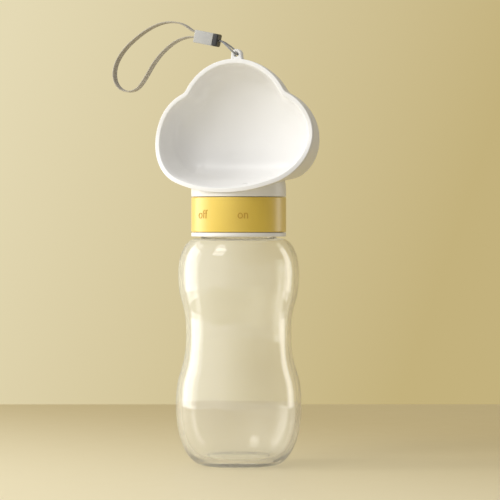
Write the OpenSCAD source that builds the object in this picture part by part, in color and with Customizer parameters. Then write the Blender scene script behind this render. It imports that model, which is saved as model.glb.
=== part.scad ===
// Dog travel water bottle: an hourglass bottle, a screw cap with a twist-ring valve,
// an upright drinking bowl and a wrist strap on an eyelet.
// The origin is the centre of the base on the table, +Z is up and the bowl opens towards -Y.

/* [Bottle] */
// Radius of the flat ring the bottle stands on
foot_r = 20; // [17:0.5:23]
// Radius of the lower bulge
bulge_r = 35.7; // [34:0.1:38]
// Height of the lower bulge
bulge_z = 33; // [28:1:38]
// Radius of the waist
waist_r = 29.8; // [27.5:0.1:32]
// Height of the waist
waist_z = 75; // [68:1:82]
// Radius of the upper bulge
chest_r = 34.3; // [33:0.1:36]
// Height of the upper bulge
chest_z = 109; // [104:1:112]
// Height of the shoulder
shoulder_z = 128.6; // [126:0.1:132]
// Wall of the bottle at the bulges
bottle_wall = 3; // [2.6:0.1:3.2]
// Wall of the bottle at the waist
waist_wall = 2.1; // [1.8:0.1:2.6]
// Thickness of the bottle's floor
floor_t = 4.4; // [3.5:0.1:6]
// Rise of the hollow under the base
punt_h = 2.2; // [1:0.1:2.8]
// Wall of the neck
neck_wall = 2; // [1.6:0.1:2.2]
// Height of the neck above the shoulder
finish_h = 16.9; // [15:0.1:19]
// Width of the shoulder outside the neck, before it curves down
shoulder_w = 2.4; // [1.5:0.1:3.5]
// Width of the standing ring outside the hollow
foot_w = 1.5; // [1:0.1:3]
// Bevel of the mouth
mouth_bevel = 0.4; // [0.2:0.1:0.6]

/* [Screw cap] */
// Gap between the bottle's shoulder and the cap
shoulder_gap = 1; // [0.6:0.1:2]
// Height of the band below the ring
band_h = 2.2; // [1.8:0.1:3]
// Outer radius of band, ring and bowl neck
collar_r = 26.9; // [26.7:0.1:27.4]
// Wall of the threaded skirt
skirt_wall = 2; // [1.8:0.1:2.2]
// Room for the threads between the bottle's neck and the skirt
thread_gap = 1.6; // [1.4:0.1:1.8]
// Thickness of the gasket on the mouth
gasket_t = 1.5; // [1:0.1:2]
// How far the gasket stays back from the bottle's mouth
gasket_in = 0.2; // [0:0.1:0.5]
// Thickness of the plate over the mouth
plate_t = 2.4; // [2:0.1:3]
// Radius of the screw boss under the plate
boss_r = 9.5; // [8.5:0.1:10.5]
// Height of the screw boss under the plate
boss_h = 3.6; // [3:0.1:4]
// Depth of the seat of the inlet's seal
seat_d = 1.4; // [1:0.1:1.6]

/* [Twist ring and valve] */
// Wall of the twist ring
ring_wall = 1.6; // [1.5:0.1:1.8]
// Half of the ring's turn, from the middle to off or on
ring_turn = 27; // [22:1:27]
// Width of the stop that limits the turn, in degrees
stop_angle = 8; // [6:1:10]
// Height of the stop
stop_h = 4; // [3:0.5:6]
// Distance of the stop above the ring's lower edge
stop_up = 10; // [8:0.5:11]
// How far the stop stands into the ring
stop_in = 0.6; // [0.5:0.1:0.8]
// Thickness of the valve disc
disc_t = 2.4; // [2:0.1:3]
// Number of lugs that key the disc to the ring
lug_count = 3; // [2:1:4]
// Width of a lug, in degrees
lug_angle = 10; // [8:1:14]
// Wall of the ring that is left outside the lugs
notch_skin = 0.7; // [0.6:0.1:0.8]
// Play of the lugs and of the stop at its ends, in degrees
turn_play = 1; // [0.5:0.1:1.5]
// Radius of a port
port_r = 2.2; // [1.8:0.1:2.4]
// Width of the mouth left outside the ports
port_in = 2; // [1.4:0.1:2.2]
// Direction of the ports, seen from above
port_dir = -60; // [-64:1:-56]
// Width of the inlet's face seal
inlet_seal_w = 1.5; // [1.2:0.1:1.6]
// Half of the width of the slot from the port to the outlet
slot_r = 1.8; // [1.6:0.1:2]
// Width of the face seal round that slot
outlet_seal_w = 1.7; // [1.4:0.1:1.8]
// Depth of the seat of the outlet's seal
outlet_seat_d = 1.2; // [1:0.1:1.4]
// Section of the O-ring between cap and ring
o_ring_d = 1.2; // [1:0.1:1.3]
// Distance of the O-ring's groove above the ring's lower edge
groove_up = 3; // [2:0.5:5]
// Section of the O-ring between hub and disc
hub_ring_d = 1.5; // [1.2:0.1:1.8]

/* [Hub and screw] */
// Radius of the hub that carries the disc
hub_r = 7; // [6.5:0.1:7.5]
// Width across the two flats at the hub's end
hub_flats = 11; // [10:0.1:12]
// Depth of the keyed end in the cap
key_depth = 3.8; // [3:0.1:4]
// Radius of the screw's shank
screw_r = 2; // [1.8:0.1:2.2]
// Radius of the screw's head
screw_head_r = 4; // [3.6:0.1:4.4]
// Height of the screw's head
screw_head_h = 2.4; // [2:0.1:3]
// Length of the screw below its head
screw_l = 10; // [9:0.5:10.5]
// Thickness of the sealing washer
washer_t = 0.6; // [0.5:0.1:1]
// How far the washer stands out beyond the screw's head
washer_out = 0.8; // [0.4:0.1:1]
// Depth of the screw's cross recess
recess_d = 1.4; // [1:0.1:1.8]

/* [Bowl] */
// Thickness of the neck's floor plate
neck_plate_t = 2.5; // [2.2:0.1:2.7]
// Wall of the neck
collar_wall = 2; // [1.6:0.1:2.2]
// Radius to which the neck is drawn in under the bowl's back
neck_in = 16; // [15:0.5:17]
// Height over which the neck is drawn in
neck_rise = 17; // [15:0.5:19]
// Height above the bowl's lowest edge where the neck starts to draw in
neck_bend_up = 1; // [0:0.1:2]
// Height of the bowl's lowest edge above the cap ring
lip_up = 2.1; // [2:0.1:2.6]
// Radius of the top lobe
top_r = 33; // [31:0.5:34]
// Height of the top lobe's centre above the bowl's lowest edge
top_up = 42.7; // [41:0.1:45]
// Radius of the side lobes
side_r = 27.7; // [27:0.1:28.5]
// Distance of the side lobes' centres from the axis
side_x = 19.1; // [18.5:0.1:20]
// Height of the side lobes' centres above the bowl's lowest edge
side_up = 31.3; // [31:0.1:32]
// Radius of the hollow between top and side lobe
notch_r = 6; // [4:0.5:9]
// Distance from the axis back to the upright part of the rim
rim_back = 8; // [6:0.5:10]
// How far the lip stands out in front of the neck
lip_out = 1.1; // [0.8:0.1:1.6]
// Height of the lowest edge below the upright part of the rim
lean_h = 41; // [38:1:46]
// Distance from the axis back to the bowl's back, below the top lobe's rim
back_y = 11.5; // [10:0.5:14]
// How far below the rim that distance is taken
back_down = 15; // [12:1:18]
// Slope of the bowl's back
back_slope = 0.14; // [0.08:0.01:0.18]
// Crown of the bowl's back
back_crown = 0.8; // [0.5:0.1:2]
// Radius of the round middle of that crown
crown_r = 24; // [20:1:28]
// Draft of the side walls over their depth
side_draft = 1.2; // [0.6:0.1:1.8]
// Rise of the floor over its depth
floor_rise = 6.5; // [5:0.5:8]
// How narrowly the rising floor keeps to the lip, as a power
floor_focus = 12; // [8:1:14]
// Radius between side wall and back
corner_r = 12; // [9:0.5:13]
// Radius between floor and back
floor_r = 17; // [14:0.5:18]
// Wall of the outer shell
shell_wall = 1.6; // [1.4:0.1:1.8]
// Wall of the inner liner
liner_wall = 1.4; // [1.2:0.1:1.6]
// Width of the liner's rim, seen from the front
rim_w = 2; // [1.6:0.1:2.4]
// Depth of the liner's rim
rim_d = 2.2; // [1.8:0.1:2.6]
// Radius of the outlet hole in the liner
outlet_r = 1.3; // [1:0.1:1.6]
// Distance of the outlet hole from the ports, away from the axis
outlet_out = 5.7; // [5.4:0.1:5.8]
// Wall of the boss under the outlet hole
outlet_wall = 1.7; // [1.4:0.1:2]
// Height of that boss
outlet_boss_h = 2.5; // [2.4:0.1:2.8]
// Thickness of the gasket under that boss
outlet_gasket_t = 1.1; // [0.9:0.1:1.3]
// Radius of the eyelet
eye_r = 3; // [2.8:0.1:3.5]
// Radius of the eyelet's hole
eye_hole_r = 1.4; // [1.2:0.1:1.5]
// Thickness of the eyelet
eye_t = 4; // [3:0.1:4.2]
// Height of the eyelet's hole above the rim
eye_up = 2.7; // [2.4:0.1:3.2]
// How far the eyelet's foot reaches below its round end
eye_foot = 1.2; // [1:0.1:1.5]
// Distance from the back of the rim to the eyelet's front
eye_back = 1.4; // [1:0.1:2]

/* [Wrist strap] */
// Diameter of the cord
cord_d = 1; // [0.8:0.1:1.1]
// Length of the ferrule sleeve
ferrule_l = 11.3; // [10:0.1:13]
// Height of the ferrule
ferrule_h = 7.2; // [6.8:0.1:8]
// Width of the ferrule, front to back
ferrule_w = 7; // [6.8:0.1:8]
// Length of the ferrule's end plug
plug_l = 3; // [2:0.1:4]
// Width of the webbing
web_w = 6; // [5:0.1:6.4]
// Thickness of the webbing
web_t = 0.8; // [0.6:0.1:1]

/* [Fits] */
// Gap between the twist ring and its neighbours
ring_gap = 0.3; // [0.2:0.05:0.4]
// Running clearance of the disc on the hub
hub_fit = 0.15; // [0.1:0.01:0.3]
// Clearance between fitted parts that don't move
part_fit = 0.3; // [0.2:0.05:0.4]
// Gap of the fine seam between the liner's rim and the shell
seam = 0.1; // [0.05:0.01:0.15]
// Clearance round keyed ends and rims
key_fit = 0.1; // [0.05:0.01:0.2]
// Gap below the valve disc
disc_gap = 0.1; // [0.05:0.01:0.2]
// Gap between the valve disc and the bowl's neck
neck_gap = 0.2; // [0.1:0.05:0.3]
// Bite of the screw's thread in its pilot hole
thread_bite = 0.3; // [0.2:0.05:0.4]
// Gap between a seal and the face that slides on it
seal_gap = 0.05; // [0.02:0.01:0.1]
// Gap between an O-ring and the bore that slides on it
o_ring_gap = 0.1; // [0.05:0.01:0.15]

/* [Hidden] */
$fn = 96;
overcut = 1;

white = "#f4f3ee";
yellow = "#e8c45e";
silicone = "#dfe3e2";
steel = "#b9bcc0";
charcoal = "#3a3b3d";
strap_grey = "#a9a69c";

// Heights of the stack, from the shoulder up
cap_z = shoulder_z + shoulder_gap;
mouth_z = shoulder_z + finish_h;
plate_z = mouth_z + gasket_t;
plate_top = plate_z + plate_t;
band_top = cap_z + band_h;
disc_z = plate_top + disc_gap;
disc_top = disc_z + disc_t;
neck_z = disc_top + neck_gap;
ring_z = band_top + ring_gap;
ring_top = neck_z - ring_gap;
neck_top = neck_z + neck_plate_t;
lip_z = neck_z + lip_up;
neck_bend_z = lip_z + neck_bend_up;

// Radii of the collar, from the outside in
ring_bore = collar_r - ring_wall;
skirt_r = ring_bore - ring_gap;
skirt_bore = skirt_r - skirt_wall;
finish_r = skirt_bore - thread_gap;
mouth_r = finish_r - neck_wall;
shoulder_r = finish_r + shoulder_w;
notch_to = collar_r - notch_skin;
disc_r = ring_bore - part_fit;
lug_r = notch_to - key_fit;

stop_z = ring_z + stop_up;
groove_z = ring_z + groove_up;
groove_h = o_ring_d + part_fit;

// Hub and screw
key_z = plate_top - key_depth;
boss_z = plate_z - boss_h;
screw_z = boss_z - washer_t;
thread_r = screw_r - thread_bite;

// Ports and seals
port_at = mouth_r - port_in - port_r;
outlet_at = port_at + outlet_out;
inlet_seal_r = port_r + inlet_seal_w;
outlet_seal_r = slot_r + outlet_seal_w;
seal_seat_z = neck_z + outlet_seat_d;
outlet_boss_z = neck_top + outlet_gasket_t;

// Bowl: how far its rim leans forward, and the centres of its outline's arcs, in X and Z
rim_lean = collar_r + lip_out - rim_back;
top_z = lip_z + top_up;
side_z = lip_z + side_up;
rim_top = top_z + top_r;
lip_r = (side_r * side_r - side_x * side_x - side_up * side_up) / (2 * (side_r - side_up));
eye_z = rim_top + eye_up;
eye_y = rim_d - rim_back + eye_back + eye_t / 2;

function polar(r, a) = [r * cos(a), r * sin(a)];

function mix(a, b, t) = a + (b - a) * t;

function bezier(a, b, c, d, t) =
    a * pow(1 - t, 3) + 3 * b * t * pow(1 - t, 2) + 3 * c * t * t * (1 - t) + d * pow(t, 3);

// An S-shaped wall from one radius and height to the next, upright at both ends
function s_wall(a, b, n) =
    let (lead = [0, 0.55 * (b[1] - a[1])])
    [for (i = [0 : n]) bezier(a, a + lead, b - lead, b, i / n)];

// A quarter of an ellipse round c, with its radii, between two angles
function quarter(c, rx, rz, from, to, n) =
    [for (i = [0 : n]) c + [rx * cos(mix(from, to, i / n)), rz * sin(mix(from, to, i / n))]];

// The bottle's side from base to shoulder, inside its outer surface by wide at the bulges
// and by narrow at the waist
function bottle_side(wide, narrow, base) =
    let (
        bulge = [bulge_r - wide, bulge_z],
        waist = [waist_r - narrow, waist_z],
        chest = [chest_r - wide, chest_z]
    )
    concat(
        quarter([foot_r, bulge_z], bulge[0] - foot_r, bulge_z - base, -90, 0, 10),
        s_wall(bulge, waist, 12),
        s_wall(waist, chest, 10),
        quarter([shoulder_r, chest_z], chest[0] - shoulder_r, shoulder_z - wide - chest_z, 0, 90, 8)
    );

// A flat ring sector, for stops, lugs and notches
module sector(from_r, to_r, angle, z0, z1) {
    translate([0, 0, z0])
        rotate([0, 0, -angle / 2])
            rotate_extrude(angle = angle)
                translate([from_r, 0])
                    square([to_r - from_r, z1 - z0]);
}

module tube(r, bore, z0, z1) {
    translate([0, 0, z0])
        difference() {
            cylinder(r = r, h = z1 - z0);
            translate([0, 0, -overcut])
                cylinder(r = bore, h = z1 - z0 + 2 * overcut);
        }
}

// A racetrack outline from one radius to another along the ports' direction
module track(from_r, to_r, r, z0, z1) {
    translate([0, 0, z0])
        rotate([0, 0, port_dir])
            linear_extrude(height = z1 - z0) {
                translate([from_r, 0])
                    circle(r = r);
                translate([to_r, 0])
                    circle(r = r);
                if (to_r > from_r)
                    translate([from_r, -r])
                        square([to_r - from_r, 2 * r]);
            }
}

module bottle() {
    outer = bottle_side(0, 0, 0);
    inner = bottle_side(bottle_wall, waist_wall, floor_t);
    inside_top = shoulder_z - bottle_wall;
    punt = quarter([0, 0], foot_r - foot_w, punt_h, 90, 0, 6);
    profile = concat(
        punt,
        outer,
        [[finish_r, shoulder_z], [finish_r, mouth_z - mouth_bevel], [finish_r - mouth_bevel, mouth_z]],
        [[mouth_r + mouth_bevel, mouth_z], [mouth_r, mouth_z - mouth_bevel], [mouth_r, inside_top]],
        [for (i = [len(inner) - 1 : -1 : 0]) inner[i]],
        [[0, floor_t]]
    );
    color("#e9f0ef", 0.45)
        rotate_extrude()
            polygon(profile);
}

module neck_gasket() {
    color(silicone)
        tube(skirt_bore - part_fit, mouth_r + gasket_in, mouth_z, plate_z);
}

module cap_base() {
    color(white)
        difference() {
            union() {
                tube(collar_r, skirt_bore, cap_z, band_top);
                tube(skirt_r, skirt_bore, cap_z, plate_z);
                translate([0, 0, plate_z])
                    cylinder(r = skirt_r, h = plate_t);
                translate([0, 0, boss_z])
                    cylinder(r = boss_r, h = boss_h + overcut);
                rotate([0, 0, 90])
                    sector(skirt_r - overcut, ring_bore + stop_in, stop_angle, stop_z, stop_z + stop_h);
            }
            // the keyed socket for the hub and the hole for its screw
            translate([0, 0, key_z - key_fit])
                hub_end(hub_r + key_fit, hub_flats + 2 * key_fit, key_depth + overcut);
            translate([0, 0, boss_z - overcut])
                cylinder(r = screw_r + part_fit, h = boss_h + plate_t);
            // the inlet port and the seat of its seal
            track(port_at, port_at, port_r, plate_z - overcut, plate_top + overcut);
            track(port_at, port_at, inlet_seal_r + key_fit, plate_top - seat_d, plate_top + overcut);
            // the groove of the ring's O-ring
            tube(skirt_r + overcut, ring_bore - o_ring_gap - o_ring_d, groove_z, groove_z + groove_h);
        }
}

module hub_end(r, flats, h) {
    intersection() {
        cylinder(r = r, h = h);
        translate([-r, -flats / 2, 0])
            cube([2 * r, flats, h]);
    }
}

module o_ring(outer_r, d, z) {
    translate([0, 0, z])
        rotate_extrude()
            translate([outer_r - d / 2, 0])
                circle(r = d / 2, $fn = 24);
}

module ring_o_ring() {
    color(charcoal)
        o_ring(ring_bore - o_ring_gap, o_ring_d, groove_z + groove_h / 2);
}

module inlet_seal() {
    seat = plate_top - seat_d;
    color(silicone)
        difference() {
            track(port_at, port_at, inlet_seal_r, seat, disc_z - seal_gap);
            track(port_at, port_at, port_r, seat - overcut, disc_z + overcut);
        }
}

module valve_disc() {
    color("#d8dadb")
        difference() {
            union() {
                translate([0, 0, disc_z])
                    cylinder(r = disc_r, h = disc_t);
                for (i = [0 : lug_count - 1])
                    rotate([0, 0, 90 + i * 360 / lug_count])
                        sector(disc_r - overcut, lug_r, lug_angle, disc_z, disc_top);
            }
            translate([0, 0, disc_z - overcut])
                cylinder(r = hub_r + hub_fit, h = disc_t + 2 * overcut);
            // the port, a ring's turn away from the fixed ports
            rotate([0, 0, ring_turn])
                track(port_at, port_at, port_r, disc_z - overcut, disc_top + overcut);
        }
}

module hub_o_ring() {
    color(charcoal)
        o_ring(hub_r + hub_fit - o_ring_gap / 2, hub_ring_d, disc_z + disc_t / 2);
}

module twist_ring() {
    bevel = 0.5;
    color(yellow)
        difference() {
            rotate_extrude()
                polygon([
                    [ring_bore, ring_z],
                    [collar_r - bevel, ring_z],
                    [collar_r, ring_z + bevel],
                    [collar_r, ring_top - bevel],
                    [collar_r - bevel, ring_top],
                    [ring_bore, ring_top]
                ]);
            // the groove that the cap's stop runs in
            rotate([0, 0, 90])
                sector(ring_bore - overcut, ring_bore + stop_in + part_fit,
                    stop_angle + 2 * ring_turn + turn_play, stop_z - ring_gap, stop_z + stop_h + ring_gap);
            // the notches for the disc's lugs
            for (i = [0 : lug_count - 1])
                rotate([0, 0, 90 + i * 360 / lug_count])
                    sector(ring_bore - overcut, notch_to, lug_angle + turn_play, disc_z - part_fit,
                        ring_top + overcut);
        }
}

module outlet_seal() {
    color(silicone)
        difference() {
            track(port_at, outlet_at, outlet_seal_r, disc_top + seal_gap, seal_seat_z);
            track(port_at, outlet_at, slot_r, disc_top - overcut, seal_seat_z + overcut);
        }
}

// ---- the bowl's surfaces ----

// The centre of the hollow arc that joins the top lobe to a side lobe
function notch_centre() =
    let (
        a = top_r + notch_r,
        b = side_r + notch_r,
        d = norm([side_x, side_z - top_z]),
        u = [side_x, side_z - top_z] / d,
        along = (a * a - b * b + d * d) / (2 * d),
        off = sqrt(a * a - along * along)
    )
    [0, top_z] + along * u + off * [-u[1], u[0]];

function heading(from, to) = atan2(to[1] - from[1], to[0] - from[0]);

// Stations [x, z, normal x, normal z] along an arc; sign is -1 where the arc is hollow
function arc(c, r, from, to, n, sign) =
    [for (i = [0 : n - 1])
        let (a = mix(from, to, i / n), n0 = polar(1, a))
        [c[0] + r * n0[0], c[1] + r * n0[1], sign * n0[0], sign * n0[1]]];

function half_outline() =
    let (
        top = [0, top_z],
        side = [side_x, side_z],
        lip = [0, lip_z + lip_r],
        hollow = notch_centre(),
        a1 = heading(top, hollow),
        a2 = heading(side, hollow),
        a3 = heading(lip, side)
    )
    concat(
        arc(top, top_r, 90, a1, 9, 1),
        arc(hollow, notch_r, a1 + 180, a2 + 180, 4, -1),
        arc(side, side_r, a2, a3, 15, 1),
        arc(lip, lip_r, a3, -90, 6, 1)
    );

right_half = half_outline();
lip_station = [0, lip_z, 0, -1];
outline = concat(
    right_half,
    [lip_station],
    [for (i = [len(right_half) - 1 : -1 : 1])
        let (s = right_half[i])
        [-s[0], s[1], -s[2], s[3]]]
);

// The rim is upright above and leans forward towards the lip
function rim_y(z) =
    -rim_back - rim_lean * pow(max(0, min(1, (lip_z + lean_h - z) / lean_h)), 1.75);

function back_at(z) = back_y + back_slope * (rim_top - back_down - z);

// How much a station's wall belongs to the floor, from 0 at the sides to 1 at the lip
function floor_share(s) = pow(max(0, -s[3]), floor_focus);

function inset(s, d) = [s[0] - d * s[2], s[1] - d * s[3]];

// One point of the bowl's surface: at a station, in by d, y_back nearer to the front.
// step runs from 0 at the rim through the corner to 1 where the back begins.
function wall_point(s, d, skin, front, step) =
    let (
        q = floor_share(s),
        draft = mix(side_draft, floor_rise, q),
        r = mix(corner_r, floor_r, q) - d,
        rim = inset(s, d),
        y0 = rim_y(s[1]) + front,
        corner = inset(s, d + draft),
        y1 = back_at(corner[1]) - skin,
        bend = (y1 - y0 - r) / (y1 - y0),
        a = mix([rim[0], y0, rim[1]], [corner[0], y1, corner[1]], bend),
        b = [corner[0], y1, corner[1]],
        last = inset(s, d + draft + r),
        c = [last[0], back_at(last[1]) - skin, last[1]],
        t = max(0, (step - 0.3) / 0.7)
    )
    step < 0.3
        ? mix([rim[0], y0, rim[1]], a, step / 0.3)
        : a * pow(1 - t, 2) + 2 * b * t * (1 - t) + c * t * t;

wall_steps = [0, 0.3, 0.42, 0.54, 0.66, 0.78, 0.89, 1];
crown_steps = [0.82, 0.64, 0.46, 0.28];

function back_centre(skin) =
    let (z = (top_z + side_z) / 2)
    [0, back_at(z) - skin + back_crown, z];

// The back's rings turn into circles towards the middle, so that the crown has no ridges
function crown_point(s, d, skin, share) =
    let (
        edge = wall_point(s, d, skin, 0, 1),
        mid = back_centre(skin),
        reach = [edge[0] - mid[0], 0, edge[2] - mid[2]],
        flat = mid + share * mix(crown_r * reach / norm(reach), reach, share)
    )
    [flat[0], back_at(flat[2]) - skin + back_crown * pow(1 - share * share, 2), flat[2]];

// Rings of a surface from the rim to the middle of the back
function bowl_face(d, skin, front) =
    concat(
        [for (t = wall_steps) [for (s = outline) wall_point(s, d, skin, front, t)]],
        [for (share = crown_steps) [for (s = outline) crown_point(s, d, skin, share)]]
    );

// A ring at a fixed inset and a distance behind the rim's front
function rim_ring(d, behind) =
    [for (s = outline) let (p = inset(s, d)) [p[0], rim_y(s[1]) + behind, p[1]]];

function reversed(list) = [for (i = [len(list) - 1 : -1 : 0]) list[i]];

// A closed skin through rings of equal count, ended by a point at each end
module skin(first, rings, last) {
    n = len(rings[0]);
    m = len(rings);
    points = concat([first], [for (ring = rings) each ring], [last]);
    faces = concat(
        [for (i = [0 : n - 1]) [0, 1 + (i + 1) % n, 1 + i]],
        [for (j = [0 : m - 2], i = [0 : n - 1])
            each [
                [1 + j * n + i, 1 + j * n + (i + 1) % n, 1 + (j + 1) * n + i],
                [1 + j * n + (i + 1) % n, 1 + (j + 1) * n + (i + 1) % n, 1 + (j + 1) * n + i]
            ]],
        [for (i = [0 : n - 1]) [1 + (m - 1) * n + i, 1 + (m - 1) * n + (i + 1) % n, 1 + m * n]]
    );
    polyhedron(points, faces);
}

// The neck's outer side: upright, then drawn in to the bowl's back
function neck_side(w, from) =
    concat(
        [[collar_r - w, from]],
        quarter([neck_in - w, neck_bend_z], collar_r - neck_in, neck_rise, 0, 90, 8)
    );

module neck_room() {
    rotate_extrude()
        polygon(concat([[0, neck_top]], neck_side(collar_wall, neck_top), [[0, neck_bend_z + neck_rise]]));
}

module neck_cup() {
    half = shell_wall / 2;
    difference() {
        rotate_extrude()
            polygon(concat([[0, neck_z]], neck_side(0, neck_z), [[0, neck_bend_z + neck_rise]]));
        neck_room();
        // room for the bowl, half the shell's wall inside the outer surface
        skin(
            back_centre(half),
            concat(reversed(bowl_face(half, half, 0)), [rim_ring(half, -top_r)]),
            [0, rim_y(side_z) - top_r, side_z]
        );
        // room for all of the liner's rim
        skin(
            [0, rim_y(side_z), side_z],
            [rim_ring(-key_fit, rim_d + seam), rim_ring(-key_fit, -top_r)],
            [0, rim_y(side_z) - top_r, side_z]
        );
    }
}

module shell_wall_skin() {
    outer = bowl_face(0, 0, rim_d + seam);
    inner = bowl_face(shell_wall, shell_wall, rim_d + seam);
    difference() {
        skin(back_centre(0), concat(reversed(outer), inner), back_centre(shell_wall));
        neck_room();
    }
}

module eyelet() {
    foot = eye_r + eye_foot;
    translate([0, eye_y + eye_t / 2, eye_z])
        rotate([90, 0, 0])
            difference() {
                linear_extrude(height = eye_t) {
                    circle(r = eye_r);
                    translate([-eye_r, -foot])
                        square([2 * eye_r, foot]);
                }
                translate([0, 0, -overcut])
                    cylinder(r = eye_hole_r, h = eye_t + 2 * overcut);
            }
}

module bowl_shell() {
    hub_groove_h = hub_ring_d + part_fit;
    hub_groove_z = disc_z + disc_t / 2 - hub_groove_h / 2;
    color(white)
        difference() {
            union() {
                shell_wall_skin();
                neck_cup();
                eyelet();
                translate([0, 0, plate_top])
                    cylinder(r = hub_r, h = neck_z - plate_top + overcut);
                translate([0, 0, key_z])
                    hub_end(hub_r, hub_flats, key_depth + overcut);
            }
            // the outlet and the seat of its seal, whose slot leads from the port to it
            track(outlet_at, outlet_at, slot_r, neck_z - overcut, neck_top + overcut);
            track(port_at, outlet_at, outlet_seal_r + key_fit, neck_z - overcut, seal_seat_z);
            // the hub's pilot hole and O-ring groove
            translate([0, 0, key_z - overcut])
                cylinder(r = thread_r, h = neck_top - key_z);
            tube(hub_r + overcut, hub_r + hub_fit - o_ring_gap / 2 - hub_ring_d, hub_groove_z,
                hub_groove_z + hub_groove_h);
        }
}

module hub_screw() {
    recess_w = 0.9;
    color(steel)
        difference() {
            union() {
                translate([0, 0, screw_z - screw_head_h])
                    cylinder(r = screw_head_r, h = screw_head_h);
                translate([0, 0, screw_z - overcut])
                    cylinder(r = thread_r, h = screw_l + overcut);
            }
            // the cross recess
            for (a = [0, 90])
                rotate([0, 0, a])
                    translate([-screw_head_r / 2, -recess_w / 2, screw_z - screw_head_h - overcut])
                        cube([screw_head_r, recess_w, overcut + recess_d]);
        }
}

module screw_washer() {
    color(charcoal)
        tube(screw_head_r + washer_out, screw_r, screw_z, boss_z);
}

module outlet_gasket() {
    color(silicone)
        difference() {
            track(outlet_at, outlet_at, outlet_r + outlet_wall, neck_top, outlet_boss_z);
            track(outlet_at, outlet_at, slot_r, neck_top - overcut, outlet_boss_z + overcut);
        }
}

module bowl_liner() {
    gap = shell_wall + part_fit;
    inside = gap + liner_wall;
    rim_bevel = 0.4;
    hidden = bowl_face(gap, gap, rim_d);
    cavity = bowl_face(inside, inside, rim_d);
    outlet = polar(outlet_at, port_dir);
    color(white)
        difference() {
            union() {
                skin(
                    back_centre(gap),
                    concat(
                        reversed(hidden),
                        [rim_ring(0, rim_d), rim_ring(0, rim_bevel)],
                        [rim_ring(rim_bevel, 0), rim_ring(rim_w, 0)],
                        cavity
                    ),
                    back_centre(inside)
                );
                translate([outlet[0], outlet[1], outlet_boss_z])
                    cylinder(r = outlet_r + outlet_wall, h = outlet_boss_h);
            }
            translate([outlet[0], outlet[1], outlet_boss_z - overcut])
                cylinder(r = outlet_r, h = 4 * outlet_boss_h);
        }
}

// ---- the wrist strap ----

// Middle of the cord's front strand, from the plug to the middle of the eyelet's hole
front_strand = [
    [-10.8, -2.9, 240.5],
    [-9.8, -3.2, 240.3],
    [-8.8, -3.7, 239.9],
    [-7.7, -4.3, 239.3],
    [-6.6, -4.9, 238.5],
    [-5.5, -5.5, 237.6],
    [-4.4, -6, 236.7],
    [-3.4, -6.3, 235.8],
    [-2.4, -6.4, 234.9],
    [-1.5, -6.3, 234.1],
    [-0.9, -6, 233.5],
    [-0.4, -5.6, 233],
    [-0.1, -5, 232.7],
    [0, -4.2, 232.6],
    [0, -3.2, 232.6]
];

// Middle of the webbing, from the top of the ferrule's end round to its lower half
webbing_route = [
    [-24.3, 245.8],
    [-26, 246.2],
    [-28, 247.4],
    [-31, 249.5],
    [-35, 251.1],
    [-40, 251.7],
    [-45, 251.2],
    [-50, 249.6],
    [-55, 247.1],
    [-60, 243.8],
    [-65, 239.8],
    [-69, 235.7],
    [-72, 231.4],
    [-74, 226.8],
    [-74.6, 222],
    [-73.6, 217.6],
    [-71, 214.3],
    [-67.4, 212.7],
    [-63.6, 212.7],
    [-60.3, 214.2],
    [-57.4, 217.3],
    [-54.4, 221.8],
    [-50.6, 227.8],
    [-46.6, 232.8],
    [-42.2, 236.9],
    [-38, 239.9],
    [-34, 241.8],
    [-30, 242.8],
    [-27, 243],
    [-24.9, 242.7]
];

strap_y = -2.4;
ferrule_tilt = 11.6;
plug_end = [-10.8, 240.5];

function cord_route() =
    concat(
        front_strand,
        [for (p = reversed(front_strand)) [p[0], 2 * strap_y - p[1], p[2]]]
    );

// A round cord along a route: rings of eight points, square to the route
module cord(route, r) {
    n = 8;
    last = len(route) - 1;
    rings = [for (i = [0 : last])
        let (
            t = route[min(last, i + 1)] - route[max(0, i - 1)],
            w = t / norm(t),
            side = cross(w, [1, 0.2, 1]),
            u = side / norm(side),
            v = cross(w, u)
        )
        [for (k = [0 : n - 1]) route[i] + r * cos(k * 360 / n) * u - r * sin(k * 360 / n) * v]];
    skin(route[0], rings, route[last]);
}

module strap_cord() {
    color(strap_grey)
        cord(cord_route(), cord_d / 2);
}

// Places a shape that runs along -X from the cord's end of the plug
module along_ferrule(from) {
    translate([plug_end[0], strap_y, plug_end[1]])
        rotate([0, ferrule_tilt, 0])
            translate([-from, 0, 0])
                children();
}

// A block from x = -l to 0 with rounded long edges
module soft_block(l, w, h, r) {
    rotate([0, -90, 0])
        linear_extrude(height = l)
            for (sx = [-1, 1], sy = [-1, 1]) {
                translate([sx * (h / 2 - r), sy * (w / 2 - r)])
                    circle(r = r, $fn = 24);
                square([h - 2 * r, w], center = true);
                square([h, w - 2 * r], center = true);
            }
}

module ferrule_plug() {
    color(charcoal)
        along_ferrule(0)
            soft_block(plug_l, ferrule_w, ferrule_h, 1);
}

module strap_ferrule() {
    color("#bdbdba")
        along_ferrule(plug_l)
            soft_block(ferrule_l, ferrule_w, ferrule_h, 0.6);
}

module strap_webbing() {
    last = len(webbing_route) - 1;
    normals = [for (i = [0 : last])
        let (
            t = webbing_route[min(last, i + 1)] - webbing_route[max(0, i - 1)],
            w = t / norm(t)
        )
        [-w[1], w[0]]];
    one = [for (i = [0 : last]) webbing_route[i] + normals[i] * web_t / 2];
    other = [for (i = [0 : last]) webbing_route[i] - normals[i] * web_t / 2];
    color(strap_grey)
        translate([0, strap_y + web_w / 2, 0])
            rotate([90, 0, 0])
                linear_extrude(height = web_w)
                    polygon(concat(one, reversed(other)));
}

bottle();
neck_gasket();
cap_base();
ring_o_ring();
inlet_seal();
valve_disc();
hub_o_ring();
twist_ring();
outlet_seal();
bowl_shell();
hub_screw();
screw_washer();
outlet_gasket();
bowl_liner();
strap_cord();
ferrule_plug();
strap_ferrule();
strap_webbing();
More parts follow.
